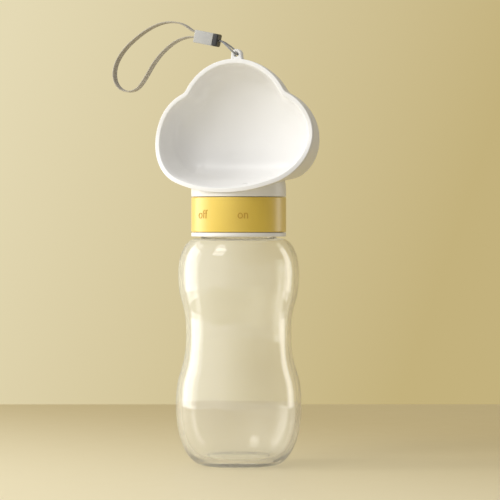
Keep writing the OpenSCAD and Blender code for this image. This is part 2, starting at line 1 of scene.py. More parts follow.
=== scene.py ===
"""A dog travel water bottle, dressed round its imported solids.

The clear bottle, the white cap and bowl, the yellow twist ring and the grey wrist strap are
modelled here round the solids they stand for. Everything is in metres, the bowl opens towards -Y
and +Z is up.
"""

from __future__ import annotations

import logging
import math
from collections.abc import Callable, Iterable, Sequence
from dataclasses import dataclass, field
from enum import Enum

import bmesh
import bpy
from mathutils import Matrix, Vector

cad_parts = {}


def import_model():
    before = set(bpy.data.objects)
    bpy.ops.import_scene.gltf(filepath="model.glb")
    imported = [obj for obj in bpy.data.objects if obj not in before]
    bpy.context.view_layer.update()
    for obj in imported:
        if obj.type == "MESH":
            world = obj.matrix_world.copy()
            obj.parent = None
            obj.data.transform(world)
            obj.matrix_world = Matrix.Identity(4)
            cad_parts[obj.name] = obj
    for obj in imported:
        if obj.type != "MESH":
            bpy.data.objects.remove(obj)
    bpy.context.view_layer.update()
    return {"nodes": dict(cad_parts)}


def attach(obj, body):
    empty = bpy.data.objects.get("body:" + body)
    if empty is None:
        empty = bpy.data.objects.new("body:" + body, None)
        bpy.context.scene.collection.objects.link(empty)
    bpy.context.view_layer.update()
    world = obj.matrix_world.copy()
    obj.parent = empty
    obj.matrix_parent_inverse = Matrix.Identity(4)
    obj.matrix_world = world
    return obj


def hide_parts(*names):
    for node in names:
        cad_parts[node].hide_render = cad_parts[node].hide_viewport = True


LOG = logging.getLogger("water_bottle")
MM = 0.001
TURN = 2 * math.pi
RUN_OUT = 0.08  # how many turns a thread takes to rise at its ends

Point = tuple[float, float, float]
Flat = tuple[float, float]
Screen = tuple[int, int, int]
Ring = Sequence[Sequence[float]]


# ---------------------------------------------------------------- curves


def mix(a: float, b: float, share: float) -> float:
    """The number that lies that share of the way from a to b."""
    return a + (b - a) * share


def ease(share: float) -> float:
    """A smooth step from 0 to 1."""
    held = min(1.0, max(0.0, share))
    return held * held * (3 - 2 * held)


def steps(count: int, first: float = 0.0, last: float = 1.0) -> list[float]:
    """Evenly spaced numbers from first to last, both included."""
    return [mix(first, last, i / count) for i in range(count + 1)]


def polar(radius: float, degrees: float) -> Flat:
    """A flat point at a radius and an angle."""
    turn = math.radians(degrees)
    return radius * math.cos(turn), radius * math.sin(turn)


def quarter(
    centre: Flat, wide: float, high: float, start: float, end: float, count: int
) -> list[Flat]:
    """Points on an ellipse between two angles in degrees."""
    angles = [math.radians(a) for a in steps(count, start, end)]
    return [(centre[0] + wide * math.cos(a), centre[1] + high * math.sin(a)) for a in angles]


def rounded(corner: Flat, before: Flat, after: Flat, radius: float, count: int = 4) -> list[Flat]:
    """A square corner of a profile, rounded.

    Args:
        corner: the sharp corner.
        before: a point on the side that leads to it.
        after: a point on the side that leads away.
        radius: how far from the corner the curve starts.
        count: the number of its steps.

    Returns:
        Points from one side to the other.
    """
    peak = Vector(corner)
    start = peak + (Vector(before) - peak).normalized() * radius
    end = peak + (Vector(after) - peak).normalized() * radius
    made = []
    for t in steps(count):
        bent = t * TURN / 4
        place = peak + (start - peak) * (1 - math.sin(bent)) + (end - peak) * (1 - math.cos(bent))
        made.append((place.x, place.y))
    return made


def s_wall(a: Flat, b: Flat, count: int) -> list[Flat]:
    """An S-shaped wall between two points of a profile, upright at both ends."""
    lead = 0.55 * (b[1] - a[1])
    controls = (a, (a[0], a[1] + lead), (b[0], b[1] - lead), b)
    made = []
    for t in steps(count):
        weights = ((1 - t) ** 3, 3 * t * (1 - t) ** 2, 3 * t * t * (1 - t), t**3)
        made.append(tuple(sum(w * c[k] for w, c in zip(weights, controls)) for k in (0, 1)))
    return made


def smooth_path(points: Sequence[Sequence[float]], spacing: float) -> list[Vector]:
    """A smooth line through points, with its own points evenly spaced.

    Args:
        points: what the line passes through.
        spacing: about how far apart the new points lie.

    Returns:
        The points of the line, ends included.
    """
    held = [Vector(p) for p in points]
    padded = [2 * held[0] - held[1], *held, 2 * held[-1] - held[-2]]
    fine: list[Vector] = [held[0]]
    for before, a, b, after in zip(padded, padded[1:], padded[2:], padded[3:]):
        for t in steps(12)[1:]:
            fine.append(
                0.5
                * (
                    2 * a
                    + (b - before) * t
                    + (2 * before - 5 * a + 4 * b - after) * t * t
                    + (3 * a - before - 3 * b + after) * t**3
                )
            )
    lengths = [0.0]
    for a, b in zip(fine, fine[1:]):
        lengths.append(lengths[-1] + (b - a).length)
    made, at = [], 0
    for goal in steps(max(2, round(lengths[-1] / spacing)), 0, lengths[-1]):
        while at < len(fine) - 2 and lengths[at + 1] < goal:
            at += 1
        span = lengths[at + 1] - lengths[at]
        made.append(fine[at].lerp(fine[at + 1], (goal - lengths[at]) / span if span else 0.0))
    return made


def path_length(path: Sequence[Vector]) -> float:
    """The length of a line through points."""
    return sum((b - a).length for a, b in zip(path, path[1:]))


# ---------------------------------------------------------------- modelling


def to_object_mode() -> None:
    """Leaves edit mode and deselects everything."""
    if bpy.context.object and bpy.context.object.mode != "OBJECT":
        bpy.ops.object.mode_set(mode="OBJECT")
    bpy.ops.object.select_all(action="DESELECT")


def pick(thing: bpy.types.Object) -> None:
    """Selects one object and makes it the active one."""
    to_object_mode()
    thing.select_set(True)
    bpy.context.view_layer.objects.active = thing


def edit_all(thing: bpy.types.Object) -> None:
    """Opens an object in edit mode with all of it selected."""
    pick(thing)
    bpy.ops.object.mode_set(mode="EDIT")
    bpy.ops.mesh.select_all(action="SELECT")


def close_up(thing: bpy.types.Object, distance: float = 0.002 * MM) -> bpy.types.Object:
    """Merges points that lie together and turns the faces outwards."""
    edit_all(thing)
    bpy.ops.mesh.remove_doubles(threshold=distance)
    bpy.ops.mesh.select_all(action="SELECT")
    bpy.ops.mesh.normals_make_consistent(inside=False)
    to_object_mode()
    return thing


def named(name: str) -> bpy.types.Object:
    """The object that an operator has just made, under its name."""
    made = bpy.context.object
    made.name = name
    made.data.name = name
    return made


def lathe(name: str, profile: Sequence[Flat], count: int, is_ring: bool) -> bpy.types.Object:
    """Turns a profile about the Z axis.

    Args:
        name: the new object's name.
        profile: points (radius, height).
        count: steps of the turn.
        is_ring: whether the profile closes on itself, rather than on the axis.

    Returns:
        A closed mesh.
    """
    to_object_mode()
    bpy.ops.mesh.primitive_circle_add(vertices=len(profile), radius=MM)
    thing = named(name)
    for vertex, (radius, height) in zip(thing.data.vertices, profile):
        vertex.co = (radius, 0.0, height)
    edit_all(thing)
    if not is_ring:
        form = bmesh.from_edit_mesh(thing.data)
        form.verts.ensure_lookup_table()
        last = form.edges.get((form.verts[0], form.verts[-1]))
        form.edges.remove(last)
        bmesh.update_edit_mesh(thing.data)
        bpy.ops.mesh.select_all(action="SELECT")
    bpy.ops.mesh.spin(steps=count, angle=TURN, center=(0, 0, 0), axis=(0, 0, 1))
    return close_up(thing)


def wrap(name: str, rings: Sequence[Ring]) -> bpy.types.Object:
    """Wraps a grid round rings of points; its UV map runs round in U and along in V.

    Args:
        name: the new object's name.
        rings: closed rings with as many points each; one that shrinks to a point closes an end.

    Returns:
        The wrapped mesh.
    """
    to_object_mode()
    round_count = len(rings[0]) + 1
    bpy.ops.mesh.primitive_grid_add(
        x_subdivisions=round_count - 1, y_subdivisions=len(rings) - 1, size=1, calc_uvs=True
    )
    thing = named(name)
    places = [ring[i % len(ring)] for ring in rings for i in range(round_count)]
    for vertex, place in zip(thing.data.vertices, places, strict=True):
        vertex.co = place
    return close_up(thing)


def apply(thing: bpy.types.Object, kind: str, **settings: object) -> bpy.types.Object:
    """Adds a modifier with its settings and applies it."""
    pick(thing)
    modifier = thing.modifiers.new(kind.lower(), kind)
    for key, value in settings.items():
        setattr(modifier, key, value)
    bpy.ops.object.modifier_apply(modifier=modifier.name)
    return thing


def combine(thing: bpy.types.Object, tool: bpy.types.Object, operation: str) -> bpy.types.Object:
    """Cuts a tool out of an object, or unites the two; the tool is used up."""
    apply(thing, "BOOLEAN", operation=operation, solver="EXACT", object=tool)
    bpy.data.objects.remove(tool)
    return thing


def cut(thing: bpy.types.Object, *tools: bpy.types.Object) -> bpy.types.Object:
    """Cuts tools out of an object."""
    for tool in tools:
        combine(thing, tool, "DIFFERENCE")
    return thing


def unite(thing: bpy.types.Object, *tools: bpy.types.Object) -> bpy.types.Object:
    """Adds overlapping solids to an object."""
    for tool in tools:
        combine(thing, tool, "UNION")
    return thing


def smooth(thing: bpy.types.Object, degrees: float = 32) -> bpy.types.Object:
    """Shades an object smooth, apart from its edges sharper than that angle."""
    pick(thing)
    bpy.ops.object.shade_smooth_by_angle(angle=math.radians(degrees))
    return thing


def peg(
    radius: float, low: float, high: float, at: Flat = (0.0, 0.0), count: int = 64
) -> bpy.types.Object:
    """An upright cylinder between two heights, to cut or add."""
    to_object_mode()
    bpy.ops.mesh.primitive_cylinder_add(
        vertices=count, radius=radius, depth=high - low, location=(at[0], at[1], (low + high) / 2)
    )
    return settle(bpy.context.object)


def block(low: Sequence[float], high: Sequence[float]) -> bpy.types.Object:
    """A block between two corners, to cut or add."""
    to_object_mode()
    bpy.ops.mesh.primitive_cube_add(size=1, location=[(a + b) / 2 for a, b in zip(low, high)])
    made = bpy.context.object
    made.scale = [b - a for a, b in zip(low, high)]
    return settle(made)


def settle(thing: bpy.types.Object) -> bpy.types.Object:
    """Puts an object's place into its mesh, so that it sits unturned at the origin."""
    pick(thing)
    bpy.ops.object.transform_apply(location=True, rotation=True, scale=True)
    return thing


def capped(rings: Sequence[Ring]) -> list[Ring]:
    """Rings with a point in the middle of the first and the last, which closes both ends."""
    ends = []
    for ring in (rings[0], rings[-1]):
        ends.append([tuple(sum(p[k] for p in ring) / len(ring) for k in range(3))] * len(ring))
    return [ends[0], *rings, ends[1]]


def sector(
    inner: float, outer: float, low: float, high: float, middle: float, wide: float
) -> bpy.types.Object:
    """Part of a flat ring, to cut or add.

    Args:
        inner: its inner radius.
        outer: its outer radius.
        low: its lower height.
        high: its upper height.
        middle: the direction of its middle, in degrees.
        wide: the angle that it takes up, in degrees.

    Returns:
        A closed mesh.
    """
    rings = []
    for angle in steps(16, middle - wide / 2, middle + wide / 2):
        near, far = polar(inner, angle), polar(outer, angle)
        rings.append([(*near, low), (*far, low), (*far, high), (*near, high)])
    return wrap("sector", capped(rings))


# ---------------------------------------------------------------- shader maths


class Signal:
    """A number on its way through nodes, with arithmetic."""

    def __init__(self, nodes: "Nodes", socket: bpy.types.NodeSocket) -> None:
        """Wraps a socket of one of the nodes."""
        self.nodes = nodes
        self.socket = socket

    def _with(self, operation: str, *others: "Signal | float") -> "Signal":
        """A Math node on this number and others."""
        return self.nodes.number("ShaderNodeMath", {"operation": operation}, self, *others)

    def __add__(self, other: "Signal | float") -> "Signal":
        """This plus other."""
        return self._with("ADD", other)

    __radd__ = __add__

    def __mul__(self, other: "Signal | float") -> "Signal":
        """This times other."""
        return self._with("MULTIPLY", other)

    __rmul__ = __mul__

    def __sub__(self, other: "Signal | float") -> "Signal":
        """This minus other."""
        return self._with("SUBTRACT", other)

    def sine(self) -> "Signal":
        """The sine of this number."""
        return self._with("SINE")

    def fraction(self) -> "Signal":
        """What this number has past its whole part."""
        return self._with("FRACT")

    def size(self) -> "Signal":
        """This number without its sign."""
        return self._with("ABSOLUTE")

    def above(self, edge: float, soft: float) -> "Signal":
        """1 where this number is above an edge, 0 below it, with a soft step between."""
        settings = {"interpolation_type": "SMOOTHSTEP", "clamp": True}
        return self.nodes.number("ShaderNodeMapRange", settings, self, edge - soft, edge + soft)


class Nodes:
    """The nodes of a material or of the world, under construction."""

    def __init__(self, tree: bpy.types.NodeTree) -> None:
        """Takes the tree that the nodes go into."""
        self.tree = tree

    def node(
        self, kind: str, settings: dict[str, object] | None = None, *values: object
    ) -> bpy.types.Node:
        """Adds a node.

        Args:
            kind: the node's type.
            settings: its properties, which are set first.
            values: numbers, colours, sockets or signals for its inputs, in order.

        Returns:
            The new node.
        """
        made = self.tree.nodes.new(kind)
        for key, value in (settings or {}).items():
            setattr(made, key, value)
        sockets = [s for s in made.inputs if s.enabled]
        for socket, value in zip(sockets, values):
            self.feed(socket, value)
        return made

    def number(
        self, kind: str, settings: dict[str, object] | None = None, *values: object
    ) -> Signal:
        """Adds a node and takes its first enabled output as a number."""
        made = self.node(kind, settings, *values)
        return Signal(self, next(s for s in made.outputs if s.enabled))

    def feed(self, socket: bpy.types.NodeSocket, value: object) -> None:
        """Sets an input, or links something to it."""
        if isinstance(value, Signal):
            self.tree.links.new(value.socket, socket)
        elif isinstance(value, bpy.types.NodeSocket):
            self.tree.links.new(value, socket)
        else:
            socket.default_value = value

    def place(self, output: str = "Object") -> bpy.types.NodeSocket:
        """The object coordinates, or another output of Texture Coordinate."""
        return self.node("ShaderNodeTexCoord").outputs[output]

    def axis(self, vector: bpy.types.NodeSocket, name: str) -> Signal:
        """One coordinate of a vector."""
        return Signal(self, self.node("ShaderNodeSeparateXYZ", None, vector).outputs[name])

    def blend(
        self, share: Signal, low: Sequence[float], high: Sequence[float]
    ) -> bpy.types.NodeSocket:
        """A colour between two colours."""
        made = self.tree.nodes.new("ShaderNodeMix")
        made.data_type = "RGBA"
        self.feed(made.inputs["Factor"], share)
        colours = [s for s in made.inputs if s.type == "RGBA"]
        for socket, colour in zip(colours, (low, high)):
            is_linked = isinstance(colour, bpy.types.NodeSocket)
            self.feed(socket, colour if is_linked else (*colour, 1.0))
        return next(s for s in made.outputs if s.type == "RGBA")

    def mix_shaders(
        self, share: Signal, low: bpy.types.Node, high: bpy.types.Node
    ) -> bpy.types.Node:
        """A shader between two nodes' shaders."""
        made = self.node("ShaderNodeMixShader")
        for socket, value in zip(made.inputs, (share, low.outputs[0], high.outputs[0])):
            self.feed(socket, value)
        return made


class Paint(Nodes):
    """A material under construction: one Principled shader and what feeds it."""

    def __init__(self, name: str) -> None:
        """Starts an empty node material."""
        self.material = bpy.data.materials.new(name)
        self.material.use_nodes = True
        super().__init__(self.material.node_tree)
        self.shader = next(n for n in self.tree.nodes if n.type == "BSDF_PRINCIPLED")

    def noise(self, scale: float, detail: float = 3.0, roughness: float = 0.5) -> Signal:
        """Noise with that many features per metre, from 0 to 1."""
        settings = {"noise_dimensions": "3D"}
        made = self.node("ShaderNodeTexNoise", settings, self.place(), scale, detail, roughness)
        return Signal(self, made.outputs[0])

    def surface(self, share: Signal, low: Screen, high: Screen, roughness: Signal) -> None:
        """Feeds the shader's colour, between two screen colours, and its roughness."""
        colour = self.blend(share, linear(*low), linear(*high))
        self.feed(self.shader.inputs["Base Color"], colour)
        self.feed(self.shader.inputs["Roughness"], roughness)

    def bump(self, height: Signal, depth: float) -> None:
        """Feeds the shader's normal from a height, where 1 stands for that depth in metres."""
        made = self.node("ShaderNodeBump")
        made.inputs["Strength"].default_value = 1.0
        made.inputs["Distance"].default_value = depth
        self.feed(made.inputs["Height"], height)
        self.feed(self.shader.inputs["Normal"], made.outputs["Normal"])

    def see_through(self, share: Signal) -> None:
        """Lets that share of the rays straight through the surface."""
        output = next(n for n in self.tree.nodes if n.type == "OUTPUT_MATERIAL")
        either = self.mix_shaders(share, self.shader, self.node("ShaderNodeBsdfTransparent"))
        self.feed(output.inputs["Surface"], either.outputs[0])

    def fixed(self, **values: float | tuple[float, ...]) -> None:
        """Sets the shader's own sockets; a name's spaces are written as underscores."""
        for key, value in values.items():
            self.shader.inputs[key.replace("_", " ")].default_value = value


def linear(red: int, green: int, blue: int) -> tuple[float, float, float]:
    """A colour given in screen values from 0 to 255, as the shaders need it."""

    def one(value: int) -> float:
        share = value / 255
        return share / 12.92 if share <= 0.04045 else ((share + 0.055) / 1.055) ** 2.4

    return one(red), one(green), one(blue)


# ---------------------------------------------------------------- finishes


@dataclass(frozen=True)
class MouldedPlastic:
    """Injection-moulded plastic: an even colour with faint flow, a fine grain and a soft gloss."""

    name: str
    colour: Screen
    deeper: Screen
    roughness: float = 0.34
    grain: float = 0.006 * MM
    coat: float = 0.0
    coat_roughness: float = 0.12

    def make(self) -> bpy.types.Material:
        """Builds the material."""
        paint = Paint(self.name)
        flow = paint.noise(34, 2.0)
        grain = paint.noise(5200, 2.0)
        cloud = paint.noise(260, 3.0)
        roughness = self.roughness - 0.05 + 0.06 * cloud + 0.04 * grain
        paint.surface(flow.above(0.5, 0.3), self.colour, self.deeper, roughness)
        paint.fixed(IOR=1.49, Coat_Weight=self.coat, Coat_Roughness=self.coat_roughness)
        paint.bump(grain, self.grain)
        return paint.material


@dataclass(frozen=True)
class ClearPlastic:
    """Clear bottle plastic with a faint haze, and a shadow as light as such a bottle's."""

    name: str
    tint: Screen = (255, 255, 253)
    clarity: float = 0.905
    lets_through: float = 0.85

    def make(self) -> bpy.types.Material:
        """Builds the material."""
        paint = Paint(self.name)
        waves = paint.noise(46, 1.0)
        haze = paint.noise(160, 2.0)
        paint.feed(paint.shader.inputs["Base Color"], (*linear(*self.tint), 1.0))
        paint.feed(paint.shader.inputs["Roughness"], 0.012 + 0.014 * haze)
        paint.fixed(IOR=1.5, Transmission_Weight=self.clarity)
        paint.bump(waves, 0.02 * MM)
        rays = paint.node("ShaderNodeLightPath").outputs
        shade, soft = Signal(paint, rays["Is Shadow Ray"]), Signal(paint, rays["Is Diffuse Ray"])
        paint.see_through(shade * self.lets_through + soft)
        return paint.material


@dataclass(frozen=True)
class SoftRubber:
    """Silicone or rubber: matt, with a dusty sheen."""

    name: str
    colour: Screen
    roughness: float = 0.6

    def make(self) -> bpy.types.Material:
        """Builds the material."""
        paint = Paint(self.name)
        dust = paint.noise(420, 4.0)
        skin = paint.noise(3000, 2.0)
        dark = tuple(round(0.86 * c) for c in self.colour)
        paint.surface(dust, dark, self.colour, self.roughness - 0.08 + 0.16 * dust)
        paint.fixed(IOR=1.42)
        paint.bump(skin, 0.01 * MM)
        return paint.material


@dataclass(frozen=True)
class TurnedSteel:
    """Stainless steel with fine turning marks."""

    name: str
    colour: Screen = (196, 198, 202)
    stained: Screen = (176, 178, 182)

    def make(self) -> bpy.types.Material:
        """Builds the material."""
        paint = Paint(self.name)
        spot = paint.place()
        x, y = paint.axis(spot, "X"), paint.axis(spot, "Y")
        marks = ((x * x + y * y) * 9.0e5).sine() * 0.5 + 0.5
        stain = paint.noise(300, 3.0)
        paint.surface(stain, self.stained, self.colour, 0.24 + 0.12 * stain)
        paint.fixed(Metallic=1.0)
        paint.bump(marks, 0.004 * MM)
        return paint.material


@dataclass(frozen=True)
class WovenTape:
    """Flat woven webbing; U of its map runs round the section, V along it."""

    name: str
    light: Screen
    dark: Screen
    length: float
    around: float
    rib: float = 0.52 * MM
    yarn: float = 0.62 * MM

    def make(self) -> bpy.types.Material:
        """Builds the material."""
        paint = Paint(self.name)
        spot = paint.place("UV")
        along = paint.axis(spot, "Y") * (self.length / self.rib)
        across = paint.axis(spot, "X") * (self.around / self.yarn)
        over = (along * math.pi + across.fraction().above(0.5, 0.06) * (math.pi / 2)).sine().size()
        between = (across * TURN).sine() * 0.5 + 0.5
        fuzz = paint.noise(2600, 4.0, 0.65)
        weave = over * 0.75 + between * 0.25
        tone = weave * 0.5 + fuzz * 0.2 + 0.2
        paint.surface(tone, self.dark, self.light, 0.72 + 0.2 * fuzz)
        paint.fixed(Sheen_Weight=0.25, Sheen_Roughness=0.5, IOR=1.4)
        paint.bump(weave + fuzz * 0.4, 0.05 * MM)
        return paint.material


@dataclass(frozen=True)
class BraidedCord:
    """Fine braided cord; U of its map runs round it, V along it."""

    name: str
    light: Screen
    dark: Screen
    length: float
    pitch: float = 1.1 * MM

    def make(self) -> bpy.types.Material:
        """Builds the material."""
        paint = Paint(self.name)
        spot = paint.place("UV")
        along = paint.axis(spot, "Y") * (TURN * self.length / self.pitch)
        around = paint.axis(spot, "X") * (TURN * 4)
        left = (along + around).sine()
        right = (along - around).sine()
        braid = (left * right) * 0.5 + 0.5
        fuzz = paint.noise(4200, 3.0)
        tone = braid * 0.7 + fuzz * 0.4
        paint.surface(tone, self.dark, self.light, 0.6 + 0.25 * fuzz)
        paint.fixed(Sheen_Weight=0.2, Sheen_Roughness=0.4, IOR=1.4)
        paint.bump(braid, 0.07 * MM)
        return paint.material


class Finish(Enum):
    """The object's finishes."""

    CLEAR = ClearPlastic("clear_plastic")
    WHITE = MouldedPlastic("white_plastic", (242, 241, 239), (238, 237, 235), 0.36)
    YELLOW = MouldedPlastic(
        "yellow_plastic", (230, 199, 76), (226, 193, 68), 0.3, coat=1.0, coat_roughness=0.45
    )
    # The words are the ring's own yellow; this darker copy of it is painted shade, standing in for
    # the shading round their relief.
    SHADED_LETTER = MouldedPlastic("yellow_letters_painted_shade", (197, 154, 46), (192, 148, 41), 0.4)
    DISC = MouldedPlastic("natural_acetal", (214, 214, 208), (206, 206, 200), 0.4)
    CHARCOAL = MouldedPlastic("charcoal_plastic", (50, 51, 54), (44, 45, 48), 0.42)
    SLEEVE = MouldedPlastic(
        "grey_plastic", (188, 188, 186), (183, 183, 181), 0.46, grain=0.001 * MM
    )
    SILICONE = SoftRubber("silicone", (218, 222, 220), 0.5)
    RUBBER = SoftRubber("black_rubber", (38, 38, 40))
    STEEL = TurnedSteel("stainless")


class Wardrobe:
    """Makes each finish once and puts it on pieces."""

    def __init__(self) -> None:
        """Starts with no material made."""
        self.made: dict[str, bpy.types.Material] = {}

    def dress(self, thing: bpy.types.Object, finish: object) -> None:
        """Gives a piece one finish all over."""
        recipe = finish.value if isinstance(finish, Enum) else finish
        if recipe.name not in self.made:
            self.made[recipe.name] = recipe.make()
        thing.data.materials.clear()
        thing.data.materials.append(self.made[recipe.name])

    def fit(
        self, thing: bpy.types.Object, finish: object, body: str, slot: str, *nodes: str
    ) -> None:
        """Dresses a finished piece and hands it over."""
        self.dress(thing, finish)
        hand_over(thing, body, slot, *nodes)


def hand_over(thing: bpy.types.Object, body: str, slot: str, *nodes: str) -> None:
    """Seats a finished piece on its body and in place of the solids it stands for."""
    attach(thing, body)
    if nodes:
        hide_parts(*nodes)
    LOG.info("%s: %d faces on %s", thing.name, len(getattr(thing.data, "polygons", [])), body)


# ---------------------------------------------------------------- the bottle


@dataclass
class Bottle:
    """The clear hourglass bottle with the thread on its neck."""

    foot_r: float = 20 * MM
    foot_w: float = 1.5 * MM
    bulge: Flat = (35.7 * MM, 33 * MM)
    waist: Flat = (29.8 * MM, 75 * MM)
    chest: Flat = (34.3 * MM, 109 * MM)
    shoulder_r: float = 23.8 * MM
    shoulder_z: float = 128.6 * MM
    finish_r: float = 21.4 * MM
    mouth_r: float = 19.4 * MM
    mouth_z: float = 145.5 * MM
    wall: float = 3.0 * MM
    waist_wall: float = 2.1 * MM
    shoulder_wall: float = 1.3 * MM
    floor: float = 4.4 * MM
    punt: float = 2.2 * MM
    pitch: float = 4 * MM
    thread_h: float = 1.05 * MM
    thread_turns: float = 2.2
    thread_from: float = 4.2 * MM
    thread_half: float = 1.0 * MM
    thread_flank: float = 0.62 * MM
    lip_edge: float = 0.4 * MM
    root_edge: float = 0.6 * MM

    def side(self, wide: float, narrow: float, base: float, under: float) -> list[Flat]:
        """The bottle's side from base to shoulder, inside its outer surface.

        Args:
            wide: how far inside at the bulges.
            narrow: how far inside at the waist.
            base: the height it starts at.
            under: how far below the shoulder's top it ends.

        Returns:
            The side's points.
        """
        rows = ((self.bulge, wide), (self.waist, narrow), (self.chest, wide))
        bulge, waist, chest = ((at[0] - inside, at[1]) for at, inside in rows)
        top = self.shoulder_z - under - chest[1]
        return [
            *quarter((self.foot_r, bulge[1]), bulge[0] - self.foot_r, bulge[1] - base, -90, 0, 26),
            *s_wall(bulge, waist, 26)[1:],
            *s_wall(waist, chest, 24)[1:],
            *quarter((self.shoulder_r, chest[1]), chest[0] - self.shoulder_r, top, 0, 90, 22)[1:],
        ]

    def profile(self) -> list[Flat]:
        """The whole wall, from the middle of the hollow foot round to the middle of the floor."""
        lip, top, low = self.lip_edge, self.mouth_z, self.shoulder_z
        neck = [(self.finish_r, z) for z in steps(72, low + self.root_edge, top - lip)]
        root = rounded((self.finish_r, low), (self.shoulder_r, low), neck[0], self.root_edge)
        mouth = [
            *quarter((self.finish_r - lip, top - lip), lip, lip, 0, 90, 4)[1:],
            *quarter((self.mouth_r + lip, top - lip), lip, lip, 90, 180, 4),
        ]
        inner = self.side(self.wall, self.waist_wall, self.floor, self.shoulder_wall)
        return [
            *quarter((0, 0), self.foot_r - self.foot_w, self.punt, 90, 0, 16),
            *self.side(0, 0, 0, 0),
            *root,
            *neck[1:],
            *mouth,
            (self.mouth_r, self.shoulder_z - self.shoulder_wall),
            *reversed(inner),
            (0, self.floor),
        ]

    def ridge(self, angle: float, height: float) -> float:
        """How far the thread stands out of the neck at a place on it."""
        low = self.shoulder_z + self.thread_from
        turn = (height - low) / self.pitch
        nearest = round(turn - angle / TURN) + angle / TURN
        inside = min(ease(nearest / RUN_OUT), ease((self.thread_turns - nearest) / RUN_OUT))
        off = abs(turn - nearest) * self.pitch
        return self.thread_h * inside * ease((self.thread_half - off) / self.thread_flank)

    def model(self) -> bpy.types.Object:
        """Turns the profile and raises the thread on its neck."""
        made = lathe("clear_bottle", self.profile(), 160, is_ring=False)
        for vertex in made.data.vertices:
            x, y, z = vertex.co
            radius = math.hypot(x, y)
            if abs(radius - self.finish_r) < 0.02 * MM and z > self.shoulder_z + self.foot_w:
                grown = 1 + self.ridge(math.atan2(y, x), z) / radius
                vertex.co = (x * grown, y * grown, z)
        return smooth(made, 50)

    def build(self, wardrobe: Wardrobe) -> None:
        """Builds the bottle."""
        wardrobe.fit(self.model(), Finish.CLEAR, "bottle", "clear_plastic", "bottle")


# ---------------------------------------------------------------- cap, ring and valve


@dataclass
class Collar:
    """What cap, ring and bowl share: the stack of heights and radii round the valve."""

    radius: float = 26.9 * MM
    ring_bore: float = 25.3 * MM
    skirt_r: float = 25 * MM
    skirt_bore: float = 23 * MM
    cap_z: float = 129.6 * MM
    band_top: float = 131.8 * MM
    ring_z: float = 132.1 * MM
    ring_top: float = 151.8 * MM
    plate_z: float = 147 * MM
    plate_top: float = 149.4 * MM
    disc_z: float = 149.5 * MM
    neck_z: float = 152.1 * MM
    neck_top: float = 154.6 * MM
    stop_z: float = 142.1 * MM
    stop_h: float = 4 * MM
    stop_dir: float = 90
    port_r: float = 2.2 * MM
    port: Flat = field(default_factory=lambda: polar(15.2 * MM, -60))
    outlet: Flat = field(default_factory=lambda: polar(20.9 * MM, -60))


@dataclass
class ScrewCap:
    """The white screw cap: its band shows below the ring, and its plate carries the valve."""

    collar: Collar
    boss_r: float = 9.5 * MM
    boss_z: float = 143.4 * MM
    hole_r: float = 2.3 * MM
    groove_z: float = 135.1 * MM
    groove_h: float = 1.5 * MM
    groove_r: float = 24 * MM
    socket_z: float = 145.5 * MM
    socket_r: float = 7.1 * MM
    socket_flats: float = 11.2 * MM
    seat: float = 1.4 * MM
    seat_r: float = 3.8 * MM
    stop_in: float = 0.6 * MM
    stop_wide: float = 8
    edge: float = 0.45 * MM
    pitch: float = 4 * MM
    thread_turns: float = 1.5
    thread_up: float = 5.2 * MM
    thread_depth: float = 1.1 * MM
    thread_root: float = 0.2 * MM
    root_half: float = 0.9 * MM
    crest_half: float = 0.4 * MM

    def profile(self) -> list[Flat]:
        """The cap's section, from the screw hole round and back to it."""
        c = self.collar
        boss, boss_top = (self.boss_r, self.boss_z), (self.boss_r, c.plate_z)
        bore_top, bore_low = (c.skirt_bore, c.plate_z), (c.skirt_bore, c.cap_z)
        low, high, step = (c.radius, c.cap_z), (c.radius, c.band_top), (c.skirt_r, c.band_top)
        hole, hole_top = (self.hole_r, self.boss_z), (self.hole_r, c.plate_top)
        soft = [hole, boss, boss_top, bore_top, bore_low, low, high, step]
        groove_top = self.groove_z + self.groove_h
        made = [hole]
        for before, corner, after in zip(soft, soft[1:], soft[2:]):
            made += rounded(corner, before, after, self.edge)
        return [
            *made,
            step,
            (c.skirt_r, self.groove_z),
            (self.groove_r, self.groove_z),
            (self.groove_r, groove_top),
            (c.skirt_r, groove_top),
            *rounded((c.skirt_r, c.plate_top), (c.skirt_r, c.plate_z), hole_top, self.edge),
            hole_top,
        ]

    def model(self) -> bpy.types.Object:
        """Turns the section, adds the stop and cuts socket, port and seat."""
        c = self.collar
        made = lathe("screw_cap", self.profile(), 160, is_ring=True)
        stop = (c.stop_z, c.stop_z + c.stop_h, c.stop_dir, self.stop_wide)
        unite(made, sector(c.skirt_r - MM, c.ring_bore + self.stop_in, *stop))
        socket = peg(self.socket_r, self.socket_z, c.plate_top + MM)
        keys = block((-0.02, -self.socket_flats / 2, 0.1), (0.02, self.socket_flats / 2, 0.2))
        combine(socket, keys, "INTERSECT")
        port = peg(c.port_r, c.plate_z - MM, c.plate_top + MM, c.port)
        seat = peg(self.seat_r, c.plate_top - self.seat, c.plate_top + MM, c.port)
        return smooth(cut(made, socket, port, seat))

    def thread(self) -> bpy.types.Object:
        """The thread inside the skirt, half a pitch from the bottle's."""
        c, rings = self.collar, []
        root = c.skirt_bore + self.thread_root
        for turn in steps(96, 0, self.thread_turns):
            grown = min(ease(turn / RUN_OUT), ease((self.thread_turns - turn) / RUN_OUT))
            middle = c.cap_z + self.thread_up + turn * self.pitch
            tip = c.skirt_bore - self.thread_depth * grown
            section = (
                (root, -self.root_half),
                (tip, -self.crest_half),
                (tip, self.crest_half),
                (root, self.root_half),
            )
            rings.append([(*polar(radius, 360 * turn), middle + up) for radius, up in section])
        return smooth(wrap("cap_thread", capped(rings)), 60)

    def build(self, wardrobe: Wardrobe) -> None:
        """Builds the cap and its thread."""
        wardrobe.fit(self.model(), Finish.WHITE, "cap", "white_plastic", "cap_base")
        wardrobe.fit(self.thread(), Finish.WHITE, "cap", "white_plastic")


